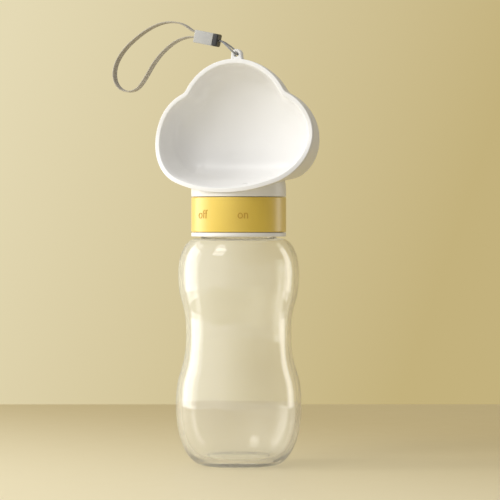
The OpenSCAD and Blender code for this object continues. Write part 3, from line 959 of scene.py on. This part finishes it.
@dataclass
class TwistRing:
    """The yellow ring that opens and closes the valve, with its two words in low relief."""

    collar: Collar
    edge: float = 0.55 * MM
    letter_size: float = 7.2 * MM
    relief: float = 0.22 * MM
    thinner: float = 0.09 * MM
    words: tuple[tuple[str, float, float], ...] = (("off", -29.8, 1.0), ("on", 24.2, 0.84))
    word_z: float = 141.9 * MM
    gap: float = 0.3 * MM
    groove_in: float = 0.9 * MM
    groove_wide: float = 63
    lugs: int = 3
    notch_skin: float = 0.7 * MM
    notch_wide: float = 11

    def model(self) -> bpy.types.Object:
        """Turns the ring and cuts the stop's groove and the notches of the disc's lugs."""
        c = self.collar
        low, top = ([(r, z) for r in (c.ring_bore, c.radius)] for z in (c.ring_z, c.ring_top))
        corners = [*low, *reversed(top)]
        profile = []
        for i, corner in enumerate(corners):
            radius = self.edge if corner[0] == c.radius else self.edge / 3
            profile += rounded(corner, corners[i - 1], corners[(i + 1) % 4], radius, 5)
        made = lathe("turned_ring", profile, 180, is_ring=True)
        inner, low, top = c.ring_bore - MM, c.stop_z - self.gap, c.stop_z + c.stop_h + self.gap
        groove = (low, top, c.stop_dir, self.groove_wide)
        cut(made, sector(inner, c.ring_bore + self.groove_in, *groove))
        for i in range(self.lugs):
            notch = (c.disc_z - self.gap, c.ring_top + MM, 90 + i * 360 / self.lugs)
            cut(made, sector(inner, c.radius - self.notch_skin, *notch, self.notch_wide))
        made.name = "yellow_ring"
        return smooth(made)

    def word(self, text: str, azimuth: float, stretch: float) -> bpy.types.Object:
        """One word, raised from the ring and wrapped round it.

        Args:
            text: the word.
            azimuth: its middle, in degrees from the front towards +X.
            stretch: how wide it is set.

        Returns:
            The word as a closed mesh.
        """
        to_object_mode()
        bpy.ops.object.text_add()
        made = bpy.context.object
        made.data.body = text
        made.data.size = self.letter_size
        made.data.align_x = "CENTER"
        made.data.align_y = "CENTER"
        made.data.extrude = self.relief
        made.data.offset = -self.thinner
        made.data.resolution_u = 5
        bpy.ops.object.convert(target="MESH")
        made = named(f"word_{text}")
        apply(made, "TRIANGULATE")
        middle = math.radians(azimuth - 90)
        for vertex in made.data.vertices:
            along, up, out = vertex.co
            turn = middle + stretch * along / self.collar.radius
            radius = self.collar.radius + out
            vertex.co = (radius * math.cos(turn), radius * math.sin(turn), self.word_z + up)
        return smooth(close_up(made, 0.0005 * MM))

    def build(self, wardrobe: Wardrobe) -> None:
        """Builds the ring and its words."""
        wardrobe.fit(self.model(), Finish.YELLOW, "ring", "yellow_plastic", "twist_ring")
        for text, azimuth, stretch in self.words:
            word = self.word(text, azimuth, stretch)
            # The words wear the painted-shade copy of the ring's yellow.
            wardrobe.fit(word, Finish.SHADED_LETTER, "ring", "yellow_plastic")


@dataclass
class InnerPieces:
    """The seals, the valve disc and the screw, whose solids show only when the cap is off."""

    finishes: tuple[tuple[str, Finish, str], ...] = (
        ("neck_gasket", Finish.SILICONE, "silicone"),
        ("inlet_seal", Finish.SILICONE, "silicone"),
        ("outlet_seal", Finish.SILICONE, "silicone"),
        ("outlet_gasket", Finish.SILICONE, "silicone"),
        ("ring_o_ring", Finish.RUBBER, "black_rubber"),
        ("hub_o_ring", Finish.RUBBER, "black_rubber"),
        ("screw_washer", Finish.RUBBER, "black_rubber"),
        ("hub_screw", Finish.STEEL, "stainless"),
        ("valve_disc", Finish.DISC, "pom"),
    )

    def build(self, wardrobe: Wardrobe, nodes: dict[str, bpy.types.Object]) -> None:
        """Dresses the solids that stay as they are."""
        for name, finish, slot in self.finishes:
            wardrobe.dress(nodes[name], finish)
            LOG.info("%s: dressed in %s", name, slot)


# ---------------------------------------------------------------- the bowl


@dataclass(frozen=True)
class Station:
    """A place on the bowl's outline, seen from the front, with its outward normal."""

    x: float
    z: float
    nx: float
    nz: float

    def inset(self, depth: float) -> Flat:
        """The point that lies that far inside the outline."""
        return self.x - depth * self.nx, self.z - depth * self.nz


@dataclass
class Bowl:
    """The upright bowl: a lobed outline drawn back into a scoop, with its neck and eyelet."""

    collar: Collar
    lip_z: float = 154.2 * MM
    top_r: float = 33 * MM
    top_up: float = 42.7 * MM
    side_r: float = 27.7 * MM
    side_x: float = 19.1 * MM
    side_up: float = 31.3 * MM
    notch_r: float = 6 * MM
    rim_back: float = 8 * MM
    rim_lean: float = 20 * MM
    lean_h: float = 41 * MM
    back_y: float = 11.5 * MM
    back_slope: float = 0.14
    back_crown: float = 0.8 * MM
    crown_r: float = 24 * MM
    side_draft: float = 1.2 * MM
    floor_rise: float = 6.5 * MM
    floor_focus: int = 12
    corner_r: float = 12 * MM
    floor_r: float = 17 * MM
    shell_wall: float = 1.6 * MM
    liner_wall: float = 1.4 * MM
    fit: float = 0.3 * MM
    seam: float = 0.5 * MM
    rim_w: float = 2.4 * MM
    rim_d: float = 2.2 * MM
    rim_edge: float = 0.3 * MM
    outlet_r: float = 1.7 * MM
    boss_r: float = 3 * MM
    boss_from_to: Flat = (155.7 * MM, 158.2 * MM)
    hole_top: float = 168 * MM
    neck_in: float = 16 * MM
    neck_rise: float = 17 * MM
    neck_wall: float = 2 * MM
    hub_r: float = 7 * MM
    hub_flats: float = 11 * MM
    key_z: float = 145.6 * MM
    neck_outlet_r: float = 1.8 * MM
    pilot_r: float = 1.7 * MM
    pilot_from_to: Flat = (144.6 * MM, 153.6 * MM)
    eye: Point = (0.0, -2.4 * MM, 232.6 * MM)
    eye_r: float = 3 * MM
    eye_hole_r: float = 1.4 * MM
    eye_t: float = 4 * MM
    eye_foot: float = 1.2 * MM
    eye_flare: float = 0.9 * MM
    eye_edge: float = 0.4 * MM
    stations: list[Station] = field(init=False)

    def __post_init__(self) -> None:
        """Works out the outline once."""
        self.top_z = self.lip_z + self.top_up
        self.side_z = self.lip_z + self.side_up
        self.rim_top = self.top_z + self.top_r
        chord = self.side_r**2 - self.side_x**2 - self.side_up**2
        self.lip_r = chord / (2 * (self.side_r - self.side_up))
        self.stations = self.outline()

    def hollow(self) -> Vector:
        """The centre of the hollow arc between the top lobe and a side lobe."""
        far, near = self.top_r + self.notch_r, self.side_r + self.notch_r
        top = Vector((0, self.top_z))
        way = Vector((self.side_x, self.side_z)) - top
        along = (far * far - near * near + way.length_squared) / (2 * way.length)
        off = math.sqrt(far * far - along * along)
        unit = way.normalized()
        return top + along * unit + off * Vector((-unit.y, unit.x))

    def outline(self) -> list[Station]:
        """Stations round the outline: the right half from the top down, then the left back up."""
        hollow = self.hollow()
        top, side = Vector((0, self.top_z)), Vector((self.side_x, self.side_z))
        lip = Vector((0, self.lip_z + self.lip_r))

        def heading(start: Vector, end: Vector) -> float:
            return math.degrees(math.atan2(end.y - start.y, end.x - start.x))

        arcs = (
            (top, self.top_r, 90.0, heading(top, hollow), 26, 1),
            (hollow, self.notch_r, heading(top, hollow) + 180, heading(side, hollow) + 180, 10, -1),
            (side, self.side_r, heading(side, hollow), heading(lip, side), 40, 1),
            (lip, self.lip_r, heading(lip, side), -90.0, 16, 1),
        )
        half = []
        for centre, radius, start, end, count, sign in arcs:
            for angle in steps(count, start, end)[:-1]:
                nx, nz = polar(1, angle)
                x, z = centre.x + radius * nx, centre.y + radius * nz
                half.append(Station(x, z, sign * nx, sign * nz))
        left = [Station(-s.x, s.z, -s.nx, s.nz) for s in reversed(half[1:])]
        return [*half, Station(0, self.lip_z, 0, -1), *left]

    def rim_y(self, height: float) -> float:
        """Where the rim's front lies: upright above, leaning forward towards the lip."""
        share = min(1.0, max(0.0, (self.lip_z + self.lean_h - height) / self.lean_h))
        return -self.rim_back - self.rim_lean * share**1.75

    def back_at(self, height: float) -> float:
        """Where the sloping back lies."""
        return self.back_y + self.back_slope * (self.rim_top - 15 * MM - height)

    def wall_point(self, s: Station, depth: float, skin: float, front: float, step: float) -> Point:
        """A point of the side wall or its corner.

        Args:
            s: the station.
            depth: how far inside the outline.
            skin: how far in front of the back.
            front: how far behind the rim's front the wall starts.
            step: 0 at the rim, 0.3 where the corner starts, 1 where the back starts.

        Returns:
            The point.
        """
        share = max(0.0, -s.nz) ** self.floor_focus
        draft = mix(self.side_draft, self.floor_rise, share)
        radius = mix(self.corner_r, self.floor_r, share) - depth
        rim, corner = s.inset(depth), s.inset(depth + draft)
        start = Vector((rim[0], self.rim_y(s.z) + front, rim[1]))
        peak = Vector((corner[0], self.back_at(corner[1]) - skin, corner[1]))
        bend = start.lerp(peak, (peak.y - start.y - radius) / (peak.y - start.y))
        if step < 0.3:
            return tuple(start.lerp(bend, step / 0.3))
        last = s.inset(depth + draft + radius)
        end = Vector((last[0], self.back_at(last[1]) - skin, last[1]))
        t = (step - 0.3) / 0.7
        return tuple(bend * (1 - t) ** 2 + peak * (2 * t * (1 - t)) + end * (t * t))

    def crown_point(self, s: Station, depth: float, skin: float, share: float) -> Point:
        """A point of the crowned back; share is 1 where the corner ends and 0 in the middle."""
        edge = Vector(self.wall_point(s, depth, skin, 0, 1))
        middle = Vector((0, 0, (self.top_z + self.side_z) / 2))
        reach = Vector((edge.x, 0, edge.z - middle.z))
        flat = middle + (self.crown_r * reach.normalized()).lerp(reach, share) * share
        crown = self.back_crown * (1 - share * share) ** 2
        return flat.x, self.back_at(flat.z) - skin + crown, flat.z

    def face(self, depth: float, skin: float, front: float) -> list[list[Point]]:
        """Rings of a surface from the rim's edge to the middle of the back."""
        walls = [*steps(5, 0, 0.3), *steps(16, 0.3, 1)[1:]]
        crowns = steps(12, 1, 0)[1:]
        return [
            *([self.wall_point(s, depth, skin, front, t) for s in self.stations] for t in walls),
            *([self.crown_point(s, depth, skin, share) for s in self.stations] for share in crowns),
        ]

    def rim_ring(self, depth: float, behind: float) -> list[Point]:
        """A ring at an inset and a distance behind the rim's front."""
        places = ((s.inset(depth), self.rim_y(s.z) + behind) for s in self.stations)
        return [(x, y, z) for (x, z), y in places]

    def rim_rings(self) -> list[list[Point]]:
        """The liner's rim with rounded edges, from the seam over its front to the cavity."""
        inside = self.fit + self.shell_wall + self.liner_wall
        seam, cavity = (0.0, self.rim_d), (inside, self.rim_d)
        outer, inner = (0.0, 0.0), (self.rim_w, 0.0)
        section = [
            seam,
            *rounded(outer, seam, inner, self.rim_edge, 5),
            *rounded(inner, outer, cavity, self.rim_edge, 5),
            cavity,
        ]
        return [self.rim_ring(depth, behind) for depth, behind in section]

    def liner(self) -> bpy.types.Object:
        """The inner scoop with its rim and the outlet hole."""
        gap = self.shell_wall + self.fit
        inside = gap + self.liner_wall
        cavity = self.face(inside, inside, self.rim_d)
        hidden = self.face(gap, gap, self.rim_d)
        made = wrap("bowl_scoop", [*reversed(hidden), *self.rim_rings(), *cavity[1:]])
        boss = peg(self.boss_r, *self.boss_from_to, self.collar.outlet, 48)
        hole = peg(self.outlet_r, self.boss_from_to[0] - MM, self.hole_top, self.collar.outlet, 48)
        unite(made, boss)
        return smooth(cut(made, hole), 40)

    def neck_side(self, wall: float, low: float) -> list[Flat]:
        """The neck's side, a wall's thickness inside: upright, then drawn in under the back."""
        centre, draw = (self.neck_in - wall, self.lip_z + MM), self.collar.radius - self.neck_in
        bend = quarter(centre, draw, self.neck_rise, 0, 90, 24)
        return [(self.collar.radius - wall, low), *bend]

    def neck(self) -> bpy.types.Object:
        """The neck's cup over the ring, with its floor plate and its lower edge rounded."""
        c, edge = self.collar, 0.4 * MM
        top = self.lip_z + MM + self.neck_rise
        outer = self.neck_side(0, c.neck_z)
        profile = [
            (0, c.neck_z),
            *rounded((c.radius, c.neck_z), (0, c.neck_z), (c.radius, top), edge),
            *outer[1:],
            (0, top),
        ]
        cup = lathe("neck_cup", profile, 160, is_ring=False)
        half = self.shell_wall / 2
        front = [self.far_ring(half), self.far_middle(half)]
        inside = wrap("bowl_room", [*reversed(self.face(half, half, 0)), *front])
        rim = wrap("rim_room", self.rim_room())
        return cut(cup, self.neck_room(0), inside, rim)

    def neck_room(self, less: float) -> bpy.types.Object:
        """The hollow of the neck, less so much all round."""
        low, wall = self.collar.neck_top + less, self.neck_wall + less
        profile = [(0, low), *self.neck_side(wall, low), (0, self.lip_z + MM + self.neck_rise)]
        return lathe("neck_room", profile, 160, is_ring=False)

    def far_ring(self, depth: float) -> list[Point]:
        """A ring well in front of the rim."""
        return [(x, y, z) for x, y, z in self.rim_ring(depth, -self.top_r)]

    def far_middle(self, depth: float) -> list[Point]:
        """The middle of that ring, once for each station."""
        spot = (0.0, self.rim_y(self.side_z) - self.top_r, self.side_z + depth)
        return [spot] * len(self.stations)

    def rim_room(self) -> list[list[Point]]:
        """Rings round the room that the liner's rim takes in the neck."""
        ease_out = -0.1 * MM
        middle = [(0.0, self.rim_y(self.side_z), self.side_z)] * len(self.stations)
        back = self.rim_ring(ease_out, self.rim_d + self.seam)
        return [middle, back, self.far_ring(ease_out), self.far_middle(ease_out)]

    def shell(self) -> bpy.types.Object:
        """The outer shell: its wall, the neck, the hub and the eyelet in one piece."""
        c = self.collar
        start = self.rim_d + self.seam
        outer, inner = self.face(0, 0, start), self.face(self.shell_wall, self.shell_wall, start)
        made = wrap("bowl_back", [*reversed(outer), *inner])
        cut(made, self.neck_room(0.05 * MM))
        unite(made, self.neck(), self.hub(), self.eyelet())
        outlet = peg(self.neck_outlet_r, c.neck_z - MM, c.neck_top + MM, c.outlet, 48)
        pilot = peg(self.pilot_r, *self.pilot_from_to)
        return smooth(cut(made, outlet, pilot), 34)

    def hub(self) -> bpy.types.Object:
        """The hub, with two flats at its keyed end."""
        made = peg(self.hub_r, self.key_z, self.collar.neck_z + MM)
        top = self.collar.plate_top
        for side in (-1, 1):
            near, far = sorted((side * self.hub_flats / 2, side * 2 * self.hub_r))
            cut(made, block((-2 * self.hub_r, near, top - 20 * MM), (2 * self.hub_r, far, top)))
        return made

    def eyelet(self) -> bpy.types.Object:
        """The loop for the wrist strap, with a flared foot and rounded edges."""
        x, y, z = self.eye
        count, foot, flare = 24, self.eye_r + self.eye_foot, self.eye_flare
        half_t = self.eye_t / 2
        upper = [polar(self.eye_r, a) for a in steps(count, 0, 180)]
        left = [(-self.eye_r - flare * t * t, -foot * t) for t in steps(6)[1:]]
        low = [(w, -foot) for w in steps(12, -self.eye_r - flare, self.eye_r + flare)[1:]]
        right = [(self.eye_r + flare * t * t, -foot * t) for t in reversed(steps(6)[1:-1])]
        outer = [*upper, *left, *low, *right]
        hole = [polar(self.eye_hole_r, a) for a in steps(len(outer), 0, 360)[:-1]]
        soft = self.eye_edge
        turns = [TURN / 4 * t for t in steps(3)]

        def ring(flat: Sequence[Flat], grow: float, depth: float) -> list[Point]:
            made = []
            for px, pz in flat:
                reach = math.hypot(px, pz)
                share = (reach + grow) / reach
                made.append((x + px * share, y + depth, z + pz * share))
            return made

        rings = []
        for sign in (-1, 1):
            over = [
                (-soft * (1 - math.cos(a)), half_t - soft * (1 - math.sin(a)))
                for a in reversed(turns)
            ]
            side = [ring(outer, grow, sign * depth) for grow, depth in over]
            inner = [ring(hole, -grow, sign * depth) for grow, depth in over]
            rings.append([*reversed(inner), *side] if sign < 0 else [*reversed(side), *inner])
        loop = [*rings[0], *rings[1]]
        return wrap("eye_loop", [*loop, loop[0]])

    def build(self, wardrobe: Wardrobe) -> None:
        """Builds scoop and shell."""
        wardrobe.fit(self.shell(), Finish.WHITE, "cap", "white_plastic", "bowl_shell")
        wardrobe.fit(self.liner(), Finish.WHITE, "cap", "white_plastic", "bowl_liner")


# ---------------------------------------------------------------- the wrist strap


@dataclass
class WristStrap:
    """Cord through the eyelet, end plug, ferrule sleeve and webbing loop."""

    middle_y: float = -2.4 * MM
    cord_d: float = 0.98 * MM
    web_w: float = 6 * MM
    web_t: float = 0.8 * MM
    plug_end: Flat = (-10.8 * MM, 240.5 * MM)
    plug_l: float = 3 * MM
    sleeve_l: float = 11.3 * MM
    ferrule_w: float = 7 * MM
    ferrule_h: float = 7.2 * MM
    tilt: float = 11.6
    cord_step: float = 0.35 * MM
    tape_step: float = 0.9 * MM
    dimple: Point = (0.5 * MM, 1.25 * MM, 0.75 * MM)
    slot: Point = (10.9 * MM, 3.1 * MM, 2.6 * MM)
    front_strand: tuple[Point, ...] = (
        (-10.8, -2.9, 240.5), (-9.8, -3.2, 240.3), (-8.8, -3.7, 239.9), (-7.7, -4.3, 239.3),
        (-6.6, -4.9, 238.5), (-5.5, -5.5, 237.6), (-4.4, -6, 236.7), (-3.4, -6.3, 235.8),
        (-2.4, -6.4, 234.9), (-1.5, -6.3, 234.1), (-0.9, -6, 233.5), (-0.4, -5.6, 233),
        (-0.1, -5, 232.7), (0, -4.2, 232.6), (0, -3.2, 232.6),
    )
    webbing_route: tuple[Flat, ...] = (
        (-24.3, 245.8), (-26, 246.2), (-28, 247.4), (-31, 249.5), (-35, 251.1),
        (-40, 251.7), (-45, 251.2), (-50, 249.6), (-55, 247.1), (-60, 243.8),
        (-65, 239.8), (-69, 235.7), (-72, 231.4), (-74, 226.8), (-74.6, 222),
        (-73.6, 217.6), (-71, 214.3), (-67.4, 212.7), (-63.6, 212.7), (-60.3, 214.2),
        (-57.4, 217.3), (-54.4, 221.8), (-50.6, 227.8), (-46.6, 232.8), (-42.2, 236.9),
        (-38, 239.9), (-34, 241.8), (-30, 242.8), (-27, 243), (-24.9, 242.7),
    )

    def cord_path(self) -> list[Vector]:
        """The cord's middle, from the plug through the eyelet and back."""
        front = [Vector(p) * MM for p in self.front_strand]
        back = [Vector((p.x, 2 * self.middle_y - p.y, p.z)) for p in reversed(front)]
        return smooth_path([*front, *back], self.cord_step)

    def tape_path(self) -> list[Vector]:
        """The webbing's middle, from the upper side of the ferrule's end round to the lower."""
        route = [(x * MM, self.middle_y, z * MM) for x, z in self.webbing_route]
        return smooth_path(route, self.tape_step)

    def sweep(
        self, name: str, path: Sequence[Vector], section: Sequence[Flat], flat: bool
    ) -> bpy.types.Object:
        """Sweeps a section along a path.

        Args:
            name: the new object's name.
            path: the points of the middle.
            section: points (sideways, outwards) of the section.
            flat: whether sideways stays along Y, as on the webbing.

        Returns:
            A closed mesh.
        """
        rings, side = [], Vector((0, 1, 0))
        for i, place in enumerate(path):
            ahead = (path[min(i + 1, len(path) - 1)] - path[max(i - 1, 0)]).normalized()
            if not flat:
                side = (side - ahead * side.dot(ahead)).normalized()
            out = ahead.cross(side)
            rings.append([tuple(place + side * across + out * up) for across, up in section])
        ends = [[tuple(path[0])] * len(section), [tuple(path[-1])] * len(section)]
        return wrap(name, [ends[0], *rings, ends[1]])

    def cord(self) -> bpy.types.Object:
        """The round cord."""
        section = [polar(self.cord_d / 2, -a) for a in steps(12, 0, 360)[:-1]]
        return smooth(self.sweep("eyelet_cord", self.cord_path(), section, flat=False), 60)

    def tape_section(self) -> list[Flat]:
        """The webbing's section, with round selvedges."""
        flat, half = (self.web_w - self.web_t) / 2, self.web_t / 2
        right = quarter((flat, 0), half, half, -90, 90, 6)
        left = quarter((-flat, 0), half, half, 90, 270, 6)
        top = [(x, half) for x in steps(8, flat, -flat)[1:-1]]
        low = [(x, -half) for x in steps(8, -flat, flat)[1:-1]]
        return [*right, *top, *left, *low]

    def tape(self) -> bpy.types.Object:
        """The webbing loop."""
        made = self.sweep("strap_tape", self.tape_path(), self.tape_section(), flat=True)
        return smooth(made, 50)

    def along(self, thing: bpy.types.Object, start: float) -> bpy.types.Object:
        """Tilts a piece that was made along -X and seats it behind the plug's front face."""
        x, z = self.plug_end
        tilted = Matrix.Rotation(math.radians(self.tilt), 4, "Y")
        move = Matrix.Translation((x, self.middle_y, z)) @ tilted
        thing.data.transform(move @ Matrix.Translation((-start, 0, 0)))
        return thing

    def soft_block(self, name: str, length: float, edge: float) -> bpy.types.Object:
        """A block with rounded edges that ends at x = 0."""
        y, z = self.ferrule_w / 2, self.ferrule_h / 2
        made = block((-length, -y, -z), (0, y, z))
        made.name = name
        made.data.name = name
        return apply(made, "BEVEL", width=edge, segments=5, limit_method="NONE")

    def plug(self) -> bpy.types.Object:
        """The charcoal end plug, with a dimple that the cord's two strands leave from."""
        made = self.soft_block("dark_plug", self.plug_l, 0.9 * MM)
        x, y, z = self.dimple
        dimple = block((-x, -y, -z), (MM, y, z))
        apply(dimple, "BEVEL", width=0.4 * MM, segments=3, limit_method="NONE")
        return smooth(self.along(cut(made, dimple), 0))

    def sleeve(self) -> bpy.types.Object:
        """The grey sleeve, with the slot that the webbing's two ends go into."""
        made = self.soft_block("grey_sleeve", self.sleeve_l, 0.35 * MM)
        x, y, z = self.slot
        slot = block((-0.02, -y, -z), (-x, y, z))
        apply(slot, "BEVEL", width=0.3 * MM, segments=3, limit_method="NONE")
        return smooth(self.along(cut(made, slot), self.plug_l))

    def build(self, wardrobe: Wardrobe) -> None:
        """Builds the strap: plug, sleeve, cord and webbing."""
        cord_path, tape_path = self.cord_path(), self.tape_path()
        plug, sleeve = self.plug(), self.sleeve()
        wardrobe.fit(plug, Finish.CHARCOAL, "strap", "charcoal_plastic", "ferrule_plug")
        wardrobe.fit(sleeve, Finish.SLEEVE, "strap", "grey_plastic", "strap_ferrule")
        cord = self.cord()
        long = path_length(cord_path)
        braid = BraidedCord("grey_cord", (176, 176, 176), (96, 96, 98), long)
        wardrobe.fit(cord, braid, "strap", "grey_cord", "strap_cord")
        tape = self.tape()
        long = path_length(tape_path)
        around = 2 * (self.web_w + self.web_t)
        weave = WovenTape("grey_webbing", (204, 197, 182), (140, 131, 112), long, around)
        wardrobe.fit(tape, weave, "strap", "grey_webbing", "strap_webbing")


# ---------------------------------------------------------------- the studio


@dataclass(frozen=True)
class Lamp:
    """A soft rectangular lamp: its direction from the camera's, its place, size and power."""

    name: str
    turn: float
    reach: float
    height: float
    size: Flat
    power: float
    hidden: tuple[str, ...] = ()


@dataclass
class Studio:
    """Camera, lights, floor and the pale surroundings."""

    azimuth: float = 19.0
    distance: float = 1.55
    eye_z: float = 140.6 * MM
    look_z: float = 121.9 * MM
    look_right: float = 6.4 * MM
    lens: float = 196.8
    floor_reach: float = 0.5
    # The backdrop wall's two colours are painted light: its lit left side and its shaded right
    # side.
    wall_left_lit: Screen = (229, 218, 181)
    wall_right_shaded: Screen = (196, 178, 125)
    front_left: tuple[float, float, float] = (1.5, 1.46, 1.36)
    front_right: tuple[float, float, float] = (0.32, 0.28, 0.2)
    # The floor's two colours are painted light: the lit front and the shaded back of an evenly
    # coloured floor.
    floor_back_shaded: Screen = (195, 176, 127)
    floor_front_lit: Screen = (235, 223, 187)
    soft_colour: tuple[float, float, float, float] = (1.0, 0.99, 0.97, 1.0)
    soft_strength: Flat = (-0.32, 0.58)
    front_between: Flat = (-0.55, 0.5)
    front_across: Flat = (0.9, 0.5)
    wall_fall: Flat = (-1.8, 5.3)
    wall_lift: float = 0.59
    lamp_goal: Point = (0.0, 0.0, 0.13)
    lamps: tuple[Lamp, ...] = (
        Lamp("window", -46, 1.05, 1.1, (0.5, 0.55), 3.9),
        Lamp("side", -86, 1.15, 0.54, (0.34, 0.6), 7.0, ("glossy", "transmission")),
        Lamp("left_fill", -104, 1.25, 0.2, (0.9, 1.3), 4.0),
        Lamp("left_strip", -112, 1.2, 0.2, (0.7, 1.4), 6.0, ("diffuse",)),
        Lamp("right_strip", 112, 1.25, 0.2, (0.36, 1.3), 3.2, ("diffuse",)),
    )

    def around(self, azimuth: float, reach: float, height: float, right: float = 0.0) -> Vector:
        """A place round the object, by its direction from the front and its distance."""
        turn = math.radians(azimuth)
        return Vector(
            (
                math.sin(turn) * reach + math.cos(turn) * right,
                -math.cos(turn) * reach + math.sin(turn) * right,
                height,
            )
        )

    def camera(self) -> None:
        """Puts the camera where the photograph's stood."""
        data = bpy.data.cameras.new("camera")
        data.lens = self.lens
        data.sensor_width = 36
        data.clip_start = 0.05
        data.clip_end = 20
        seat = bpy.data.objects.new("camera", data)
        place = self.around(self.azimuth, self.distance, self.eye_z, self.look_right)
        self.aim(seat, place, self.around(self.azimuth, 0, self.look_z, self.look_right))
        bpy.context.scene.camera = seat

    def aim(self, seat: bpy.types.Object, place: Vector, goal: Vector) -> None:
        """Puts a camera or lamp at a place and turns it to a goal."""
        bpy.context.scene.collection.objects.link(seat)
        seat.location = place
        seat.rotation_mode = "QUATERNION"
        seat.rotation_quaternion = (goal - place).to_track_quat("-Z", "Y")

    def light(self) -> None:
        """Sets up the lamps, each hidden from the kinds of ray that its row names."""
        for lamp in self.lamps:
            data = bpy.data.lights.new(lamp.name, "AREA")
            data.shape = "RECTANGLE"
            data.size, data.size_y = lamp.size
            data.energy = lamp.power
            made = bpy.data.objects.new(lamp.name, data)
            place = self.around(self.azimuth + lamp.turn, lamp.reach, lamp.height)
            self.aim(made, place, Vector(self.lamp_goal))
            for kind in lamp.hidden:
                setattr(made, f"visible_{kind}", False)

    def floor(self) -> None:
        """A floor that faces the camera, whose far edge is the photograph's floor line."""
        to_object_mode()
        turn = (0, 0, math.radians(self.azimuth))
        bpy.ops.mesh.primitive_plane_add(size=2 * self.floor_reach, rotation=turn)
        made = named("floor")
        paint = Paint("floor")
        spot = paint.place()
        sideways, deep = paint.axis(spot, "X"), paint.axis(spot, "Y")
        # Painted light fall-off: the floor blends from its lit colour at the front left to its
        # shaded colour towards the back and right.
        share = (deep * 1.3 + sideways * 1.2 + 0.42).above(0.5, 0.5)
        paint.surface(share, self.floor_front_lit, self.floor_back_shaded, 0.5 + 0.1 * paint.noise(60))
        made.data.materials.append(paint.material)

    def surroundings(self) -> None:
        """An even soft light, and what is seen round the object: wall behind, room in front."""
        world = bpy.data.worlds.new("studio")
        bpy.context.scene.world = world
        world.use_nodes = True
        nodes = Nodes(world.node_tree)
        nodes.tree.nodes.clear()
        way = nodes.node("ShaderNodeTexCoord").outputs["Generated"]

        def along(goal: Vector) -> Signal:
            made = nodes.node("ShaderNodeVectorMath", {"operation": "DOT_PRODUCT"}, way, goal)
            return Signal(nodes, made.outputs["Value"])

        def held(operation: str, *values: object) -> Signal:
            settings = {"operation": operation, "use_clamp": True}
            return nodes.number("ShaderNodeMath", settings, *values)

        sideways = along(self.around(self.azimuth, 0, 0, 1))
        strength = held("MULTIPLY_ADD", sideways, *self.soft_strength)
        soft = nodes.node("ShaderNodeBackground", None, self.soft_colour, strength)
        towards = nodes.number(
            "ShaderNodeMapRange",
            {"interpolation_type": "SMOOTHSTEP"},
            along(self.around(self.azimuth, 1, 0)),
            *self.front_between,
        )
        # Painted shade on the backdrop: the wall darkens towards the right and downwards.
        fall, lift = self.around(self.azimuth, 0, *self.wall_fall), self.wall_lift
        shade = held("ADD", along(fall), lift)
        wall = nodes.blend(shade, linear(*self.wall_left_lit), linear(*self.wall_right_shaded))
        across = held("MULTIPLY_ADD", sideways, *self.front_across)
        room = nodes.blend(across, self.front_left, self.front_right)
        seen = nodes.node("ShaderNodeBackground", None, nodes.blend(towards, wall, room))
        path = nodes.node("ShaderNodeLightPath").outputs
        shown = held("ADD", path["Is Camera Ray"], path["Is Glossy Ray"])
        shown = held("ADD", shown, path["Is Transmission Ray"])
        either = nodes.mix_shaders(shown, soft, seen)
        nodes.node("ShaderNodeOutputWorld", None, either.outputs[0])

    def build(self) -> None:
        """Sets the stage."""
        bpy.context.scene.view_settings.view_transform = "Standard"
        self.camera()
        self.light()
        self.floor()
        self.surroundings()


# ---------------------------------------------------------------- the whole


def corners(box: Iterable[Iterable[float]]) -> list[list[float]]:
    """A box's two corners as plain lists."""
    return [[float(v) for v in corner] for corner in box]


def timed(name: str, work: Callable[[], None]) -> None:
    """Runs one part of the building and reports it."""
    LOG.info("building %s", name)
    work()


def main() -> None:
    """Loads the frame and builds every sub-assembly."""
    logging.basicConfig(level=logging.INFO, format="%(name)s: %(message)s")
    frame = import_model()
    wardrobe = Wardrobe()
    collar = Collar()
    timed("studio", Studio().build)
    timed("strap", lambda: WristStrap().build(wardrobe))
    timed("bottle", lambda: Bottle().build(wardrobe))
    timed("cap", lambda: ScrewCap(collar).build(wardrobe))
    timed("ring", lambda: TwistRing(collar).build(wardrobe))
    timed("inner pieces", lambda: InnerPieces().build(wardrobe, frame["nodes"]))
    timed("bowl", lambda: Bowl(collar).build(wardrobe))


if __name__ == "__main__":
    main()
